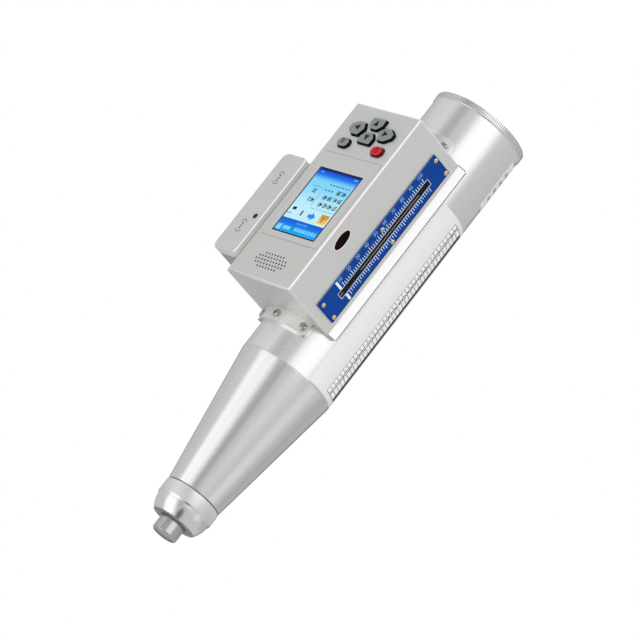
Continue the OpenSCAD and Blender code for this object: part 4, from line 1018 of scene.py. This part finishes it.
def tick_rows():
    """Short and long ticks on both sides of the slot."""
    for side, edge in ((1, "upper"), (-1, "lower")):
        for count, every, low, tall, label in ((46, 1, 2.15, 1.7, "short"), (10, 5, 3.85, 0.9, "long")):
            mesh = grow(TICKS, {"Ticks": count, "Spacing": every * TICK_STEP * MM, "Tick Width": 0.36 * MM,
                                "Tick Length": tall * MM, "Tick Height": 0.05 * MM, "Material": print_white})
            middle = side * (low + tall / 2)
            for vertex in mesh.vertices:
                u, v, w = vertex.co / MM
                vertex.co = on_plate(FIRST_TICK + u, middle + v, w)
            mesh.flip_normals()
            add_mesh(f"scale_{label}_ticks_{edge}", mesh, [print_white])


def side_windows():
    rounded_part("infrared_pane", "infrared_window", window_red, 0.3, 2,
                 lambda at, e: at.x < -25.8)
    # A pale ring round the infrared window, in painted highlight.
    rim = bmesh.new()
    for t in range(0, 360, 10):
        part = ring_part(109.2, -44.0, (6.32, 2.82), (6.62, 3.12), radians(t), radians(t + 10))
        plate_shape(rim, on_scale_side(SCALE_SIDE), part, -0.02, 0.08)
    add_piece("infrared_rim", rim, [case_paint_highlight])
    # A dark patch on the back of the scale window, over 111.6 to 121.6 mm along the case.
    plates("window_film", rider_black, "rider_black", on_scale_side(WINDOW_BACK), 0.0, 0.1,
           (111.6, -27.4, 121.6, -20.6))


def small_springs():
    """The two springs that a moving piece presses shorter, each copied as it stands in its CAD node."""
    for node, body, joint, axis, anchor, keep in (
            ("lock_spring", "housing", "lock_slide", (1, 0, 0), (27.74, 0, 24.0), 0.42),
            ("pawl_spring", "plunger_set", "pawl_pivot", (0, 0, 1), (17.1, 0, 20.14), 0.76)):
        bm = bmesh.new()
        bm.from_mesh(nodes[node].data)
        piece = add_piece(f"{node}_coil", bm, [steel_spring], [node], 50, body)
        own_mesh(piece)


def battery_holder():
    def box_edge(at, e):
        return e.calc_length() > 3 * MM and (at.x > 46.2 or at.z < 76 or at.z > 138.6)

    box = merged_copy("battery_box")
    round_edges(box, 0.3, 2, box_edge, pale=False)
    box.normal_update()
    for face in box.faces:
        face.material_index = 1 if face.normal.z > 0.9 else 0
    keep_flats_flat(add_piece("holder_box", box, [holder_plastic, holder_shade],
                              ["battery_box"], 50))
    lid = merged_copy("battery_lid")
    lid.normal_update()
    for face in lid.faces:
        n, near = face.normal, face.calc_center_median().x < 29.2 * MM
        # The lid's inner wall takes painted shade, and its chamfer a painted highlight.
        face.material_index = 1 if near and n.x < -0.9 else 2 if near and n.x < -0.4 and n.y < -0.4 else 0
    keep_flats_flat(add_piece("holder_lid", lid, [holder_plastic, holder_wall_shade, case_paint_highlight],
                              ["battery_lid"], 50, "lid"))
    rounded_part("holder_lamp", "battery_lamp", lamp_red, 0.3, 3,
                 lambda at, e: at.y < LID_TOP + 0.4, "lid")
    grips()


def grips():
    """Two finger marks on the lid, each three studs between two arcs: moulded hollows whose darkness is
    painted shade.
    """
    arcs, studs = bmesh.new(), bmesh.new()
    layer = (-0.05, 0.12)
    for middle in (90.7, 122.9):
        for start in (-140, 40):
            for t in range(start, start + 100, 10):
                part = ring_part(37.6, middle, (2.5, 3.75), (2.78, 4.17), radians(t), radians(t + 10))
                plate_shape(arcs, on_lid, part, *layer)
        for k in (-1, 0, 1):
            slab(studs, on_lid, 37.1, middle + 1.6 * k - 0.4, 38.1, middle + 1.6 * k + 0.4, *layer)
    add_piece("holder_grip_arcs", arcs, [grip_recess_shade], body="lid")
    add_piece("holder_grip_studs", studs, [dark_print_and_recess_shade], body="lid")


def lock_knob():
    rounded_part("lock_boss", "lock_bush", silver_collar, 0.35, 2,
                 lambda at, e: at.x > 28)
    rounded_part("lock_knob", "lock_button", steel_dark, 0.5, 3,
                 lambda at, e: at.x > 33, "lock")


def labels():
    """Rules, cells and figures of the conversion table, and bare marks on the rear label."""
    def strip(bm, start, end, steps, high=FOIL_PRINT[1]):
        slab(bm, on_barrel, start, TABLE_REAR, end, TABLE_FRONT, FOIL_PRINT[0], high, steps)

    cells, table, words, dark, rear = (bmesh.new() for _ in range(5))
    strip(cells, CELL_FROM, CELL_TO + 0.2, 12, 0.15)
    for theta in (CELL_FROM, CELL_TO):
        strip(table, theta - 0.2, theta + 0.2, 1)
    for k in range(TABLE_ROWS + 1):
        v = TABLE_FRONT - TABLE_ROW * k
        slab(table, on_barrel, CELL_FROM, v - 0.17, CELL_TO, v + 0.17, *FOIL_PRINT, 8)
    for k in range(TABLE_ROWS):
        figures(words, lambda u, v, lift: on_barrel(112.8 - v * 2.1, u, lift), str(20 + k), 2.2,
                TABLE_FRONT - TABLE_ROW * (k + 0.5), 0, *FOIL_PRINT, heavy=0.06, narrow=0.7)
    strip(dark, 125.0, 128.8, 3)
    strip(table, 128.8, 133.0, 3)
    for row in range(3):
        for k in range(4):
            u, v = 124.6 + 3.4 * row, 14.6 + 5.2 * k
            slab(rear, on_barrel, u, v, u + 1.6, v + 2.4, *FOIL_PRINT, 2)
    for name, bm, material in (("table_cells", cells, label_cells), ("table_rules", table, dark_print_and_recess_shade),
                               ("table_figures", words, print_black), ("table_heading", dark, print_black),
                               ("rear_label_marks", rear, dark_print_and_recess_shade)):
        add_piece(name, bm, [material])


barrel_and_nose()
rear_knob()
nose_cap()
striking_plunger()
saddle_collars()
case_shell()
display_face()
screen()
keys()
scale()
side_windows()
small_springs()
battery_holder()
lock_knob()
labels()


# Studio

# Even light of the surroundings, and patches on it: turn, rise, half width, half height, gain
ROOM_LEVEL = 0.56
ROOM_PATCHES = ((69, -22, 28, 20, 0.68), (-8, 17, 24, 34, 0.62), (-44, -26, 29, 23, 0.12),
                (33, 5, 9, 12, -0.2), (52, 42, 10, 28, -0.5), (118, 5, 15, 10, 0.2), (-10, 52, 26, 20, 0.3),
                (172, -2, 24, 13, -0.12), (-5, -15, 13, 14, -0.47), (228, -6, 26, 32, -0.32))


def towards(turn, rise):
    """The way to a light, turn from the display side to the scale side and rise, in degrees."""
    t, e = radians(turn), radians(rise)
    return Vector((-sin(t) * cos(e), -cos(t) * cos(e), sin(e)))


def light_patch(tree, facing, turn, rise, wide, tall, gain):
    """A soft patch of light in the surroundings, in the way that towards() gives."""
    t, e = radians(turn), radians(rise)
    across = (-cos(t), sin(t), 0.0)
    over = (sin(t) * sin(e), cos(t) * sin(e), cos(e))
    squares = []
    for way, reach in ((across, wide), (over, tall)):
        part = vector_step(tree, "DOT_PRODUCT", facing, way)
        part = arithmetic(tree, "DIVIDE", part, sin(radians(reach)))
        squares.append(arithmetic(tree, "MULTIPLY", part, part))
    far = arithmetic(tree, "SQRT", arithmetic(tree, "ADD", *squares))
    inside = ramp(tree, far, 0.7, 1.3, gain, 0.0)
    ahead = vector_step(tree, "DOT_PRODUCT", facing, towards(turn, rise))
    return arithmetic(tree, "MULTIPLY", inside, arithmetic(tree, "GREATER_THAN", ahead, 0.0))


def studio_world():
    world = bpy.data.worlds.new("studio")
    bpy.context.scene.world = world
    world.use_nodes = True
    tree = world.node_tree
    tree.nodes.clear()
    facing = add_node(tree, "ShaderNodeTexCoord").outputs["Generated"]
    level = arithmetic(tree, "ADD", ROOM_LEVEL, 0.0)
    for patch in ROOM_PATCHES:
        level = arithmetic(tree, "ADD", level, light_patch(tree, facing, *patch))
    room, soft, white = (
        add_node(tree, "ShaderNodeBackground", Color=(1, 1, 1, 1), Strength=strength).outputs[0]
        for strength in (level, 0.8, 1.0))
    path = add_node(tree, "ShaderNodeLightPath").outputs
    seen = arithmetic(tree, "MAXIMUM", path["Is Camera Ray"], path["Is Transmission Ray"])
    lit = mix_shaders(tree, path["Is Glossy Ray"], soft, room)
    add_node(tree, "ShaderNodeOutputWorld", Surface=mix_shaders(tree, seen, lit, white))


def pale_floor():
    bm = bmesh.new()
    bmesh.ops.create_circle(bm, cap_ends=True, segments=96, radius=FLOOR_R * MM)
    bmesh.ops.translate(bm, vec=spot(0, 0, FLOOR_Z), verts=bm.verts)
    mesh = mesh_from(bm, "floor")
    made, tree = new_material("floor_pale")
    tree.nodes.clear()
    path = add_node(tree, "ShaderNodeLightPath").outputs
    seen = arithmetic(tree, "MAXIMUM", path["Is Camera Ray"], path["Is Transmission Ray"])
    seen = arithmetic(tree, "MAXIMUM", seen, path["Is Glossy Ray"])
    strength = arithmetic(tree, "MULTIPLY", seen, 0.7)
    glow = add_node(tree, "ShaderNodeEmission", Color=(1, 1, 1, 1), Strength=strength)
    matt = add_node(tree, "ShaderNodeBsdfDiffuse", Color=(0.6, 0.6, 0.6, 1))
    both = add_node(tree, "ShaderNodeAddShader")
    feed(tree, both.inputs[0], glow.outputs[0])
    feed(tree, both.inputs[1], matt.outputs[0])
    add_node(tree, "ShaderNodeOutputMaterial", Surface=both.outputs[0])
    mesh.materials.append(made)
    floor = bpy.data.objects.new("floor", mesh)
    link(floor)


def soft_lamp(name, turn, rise, far, size, watts):
    ahead = towards(turn, rise)
    data = bpy.data.lights.new(name, "AREA")
    data.shape = "DISK"
    data.size = size
    data.energy = watts
    lamp = bpy.data.objects.new(name, data)
    lamp.location = Vector((0, 0, 0.14)) + ahead * far
    lamp.rotation_mode = "QUATERNION"
    lamp.rotation_quaternion = (-ahead).to_track_quat("-Z", "Y")
    lamp.visible_glossy = False
    link(lamp)


def camera():
    data = bpy.data.cameras.new("camera")
    data.sensor_width = 36.0
    data.lens = 228.5
    data.clip_start, data.clip_end = 0.1, 20.0
    right = Vector((-0.6018, 0.5362, -0.5918)).normalized()
    ahead = Vector((0.7728, 0.578, -0.2622)).normalized()
    up = right.cross(ahead).normalized()
    right = ahead.cross(up).normalized()
    eye = spot(-1604.24, -1204.99, 681.5)
    made = bpy.data.objects.new("camera", data)
    made.matrix_world = Matrix(((right.x, up.x, -ahead.x, eye.x), (right.y, up.y, -ahead.y, eye.y),
                                (right.z, up.z, -ahead.z, eye.z), (0, 0, 0, 1)))
    link(made)
    bpy.context.scene.camera = made


studio_world()
pale_floor()
soft_lamp("key_lamp", 52, 20, 1.8, 1.0, 12.9)
soft_lamp("back_lamp", 200, 35, 1.8, 1.0, 5.0)
camera()
bpy.context.scene.view_settings.view_transform = "Standard"
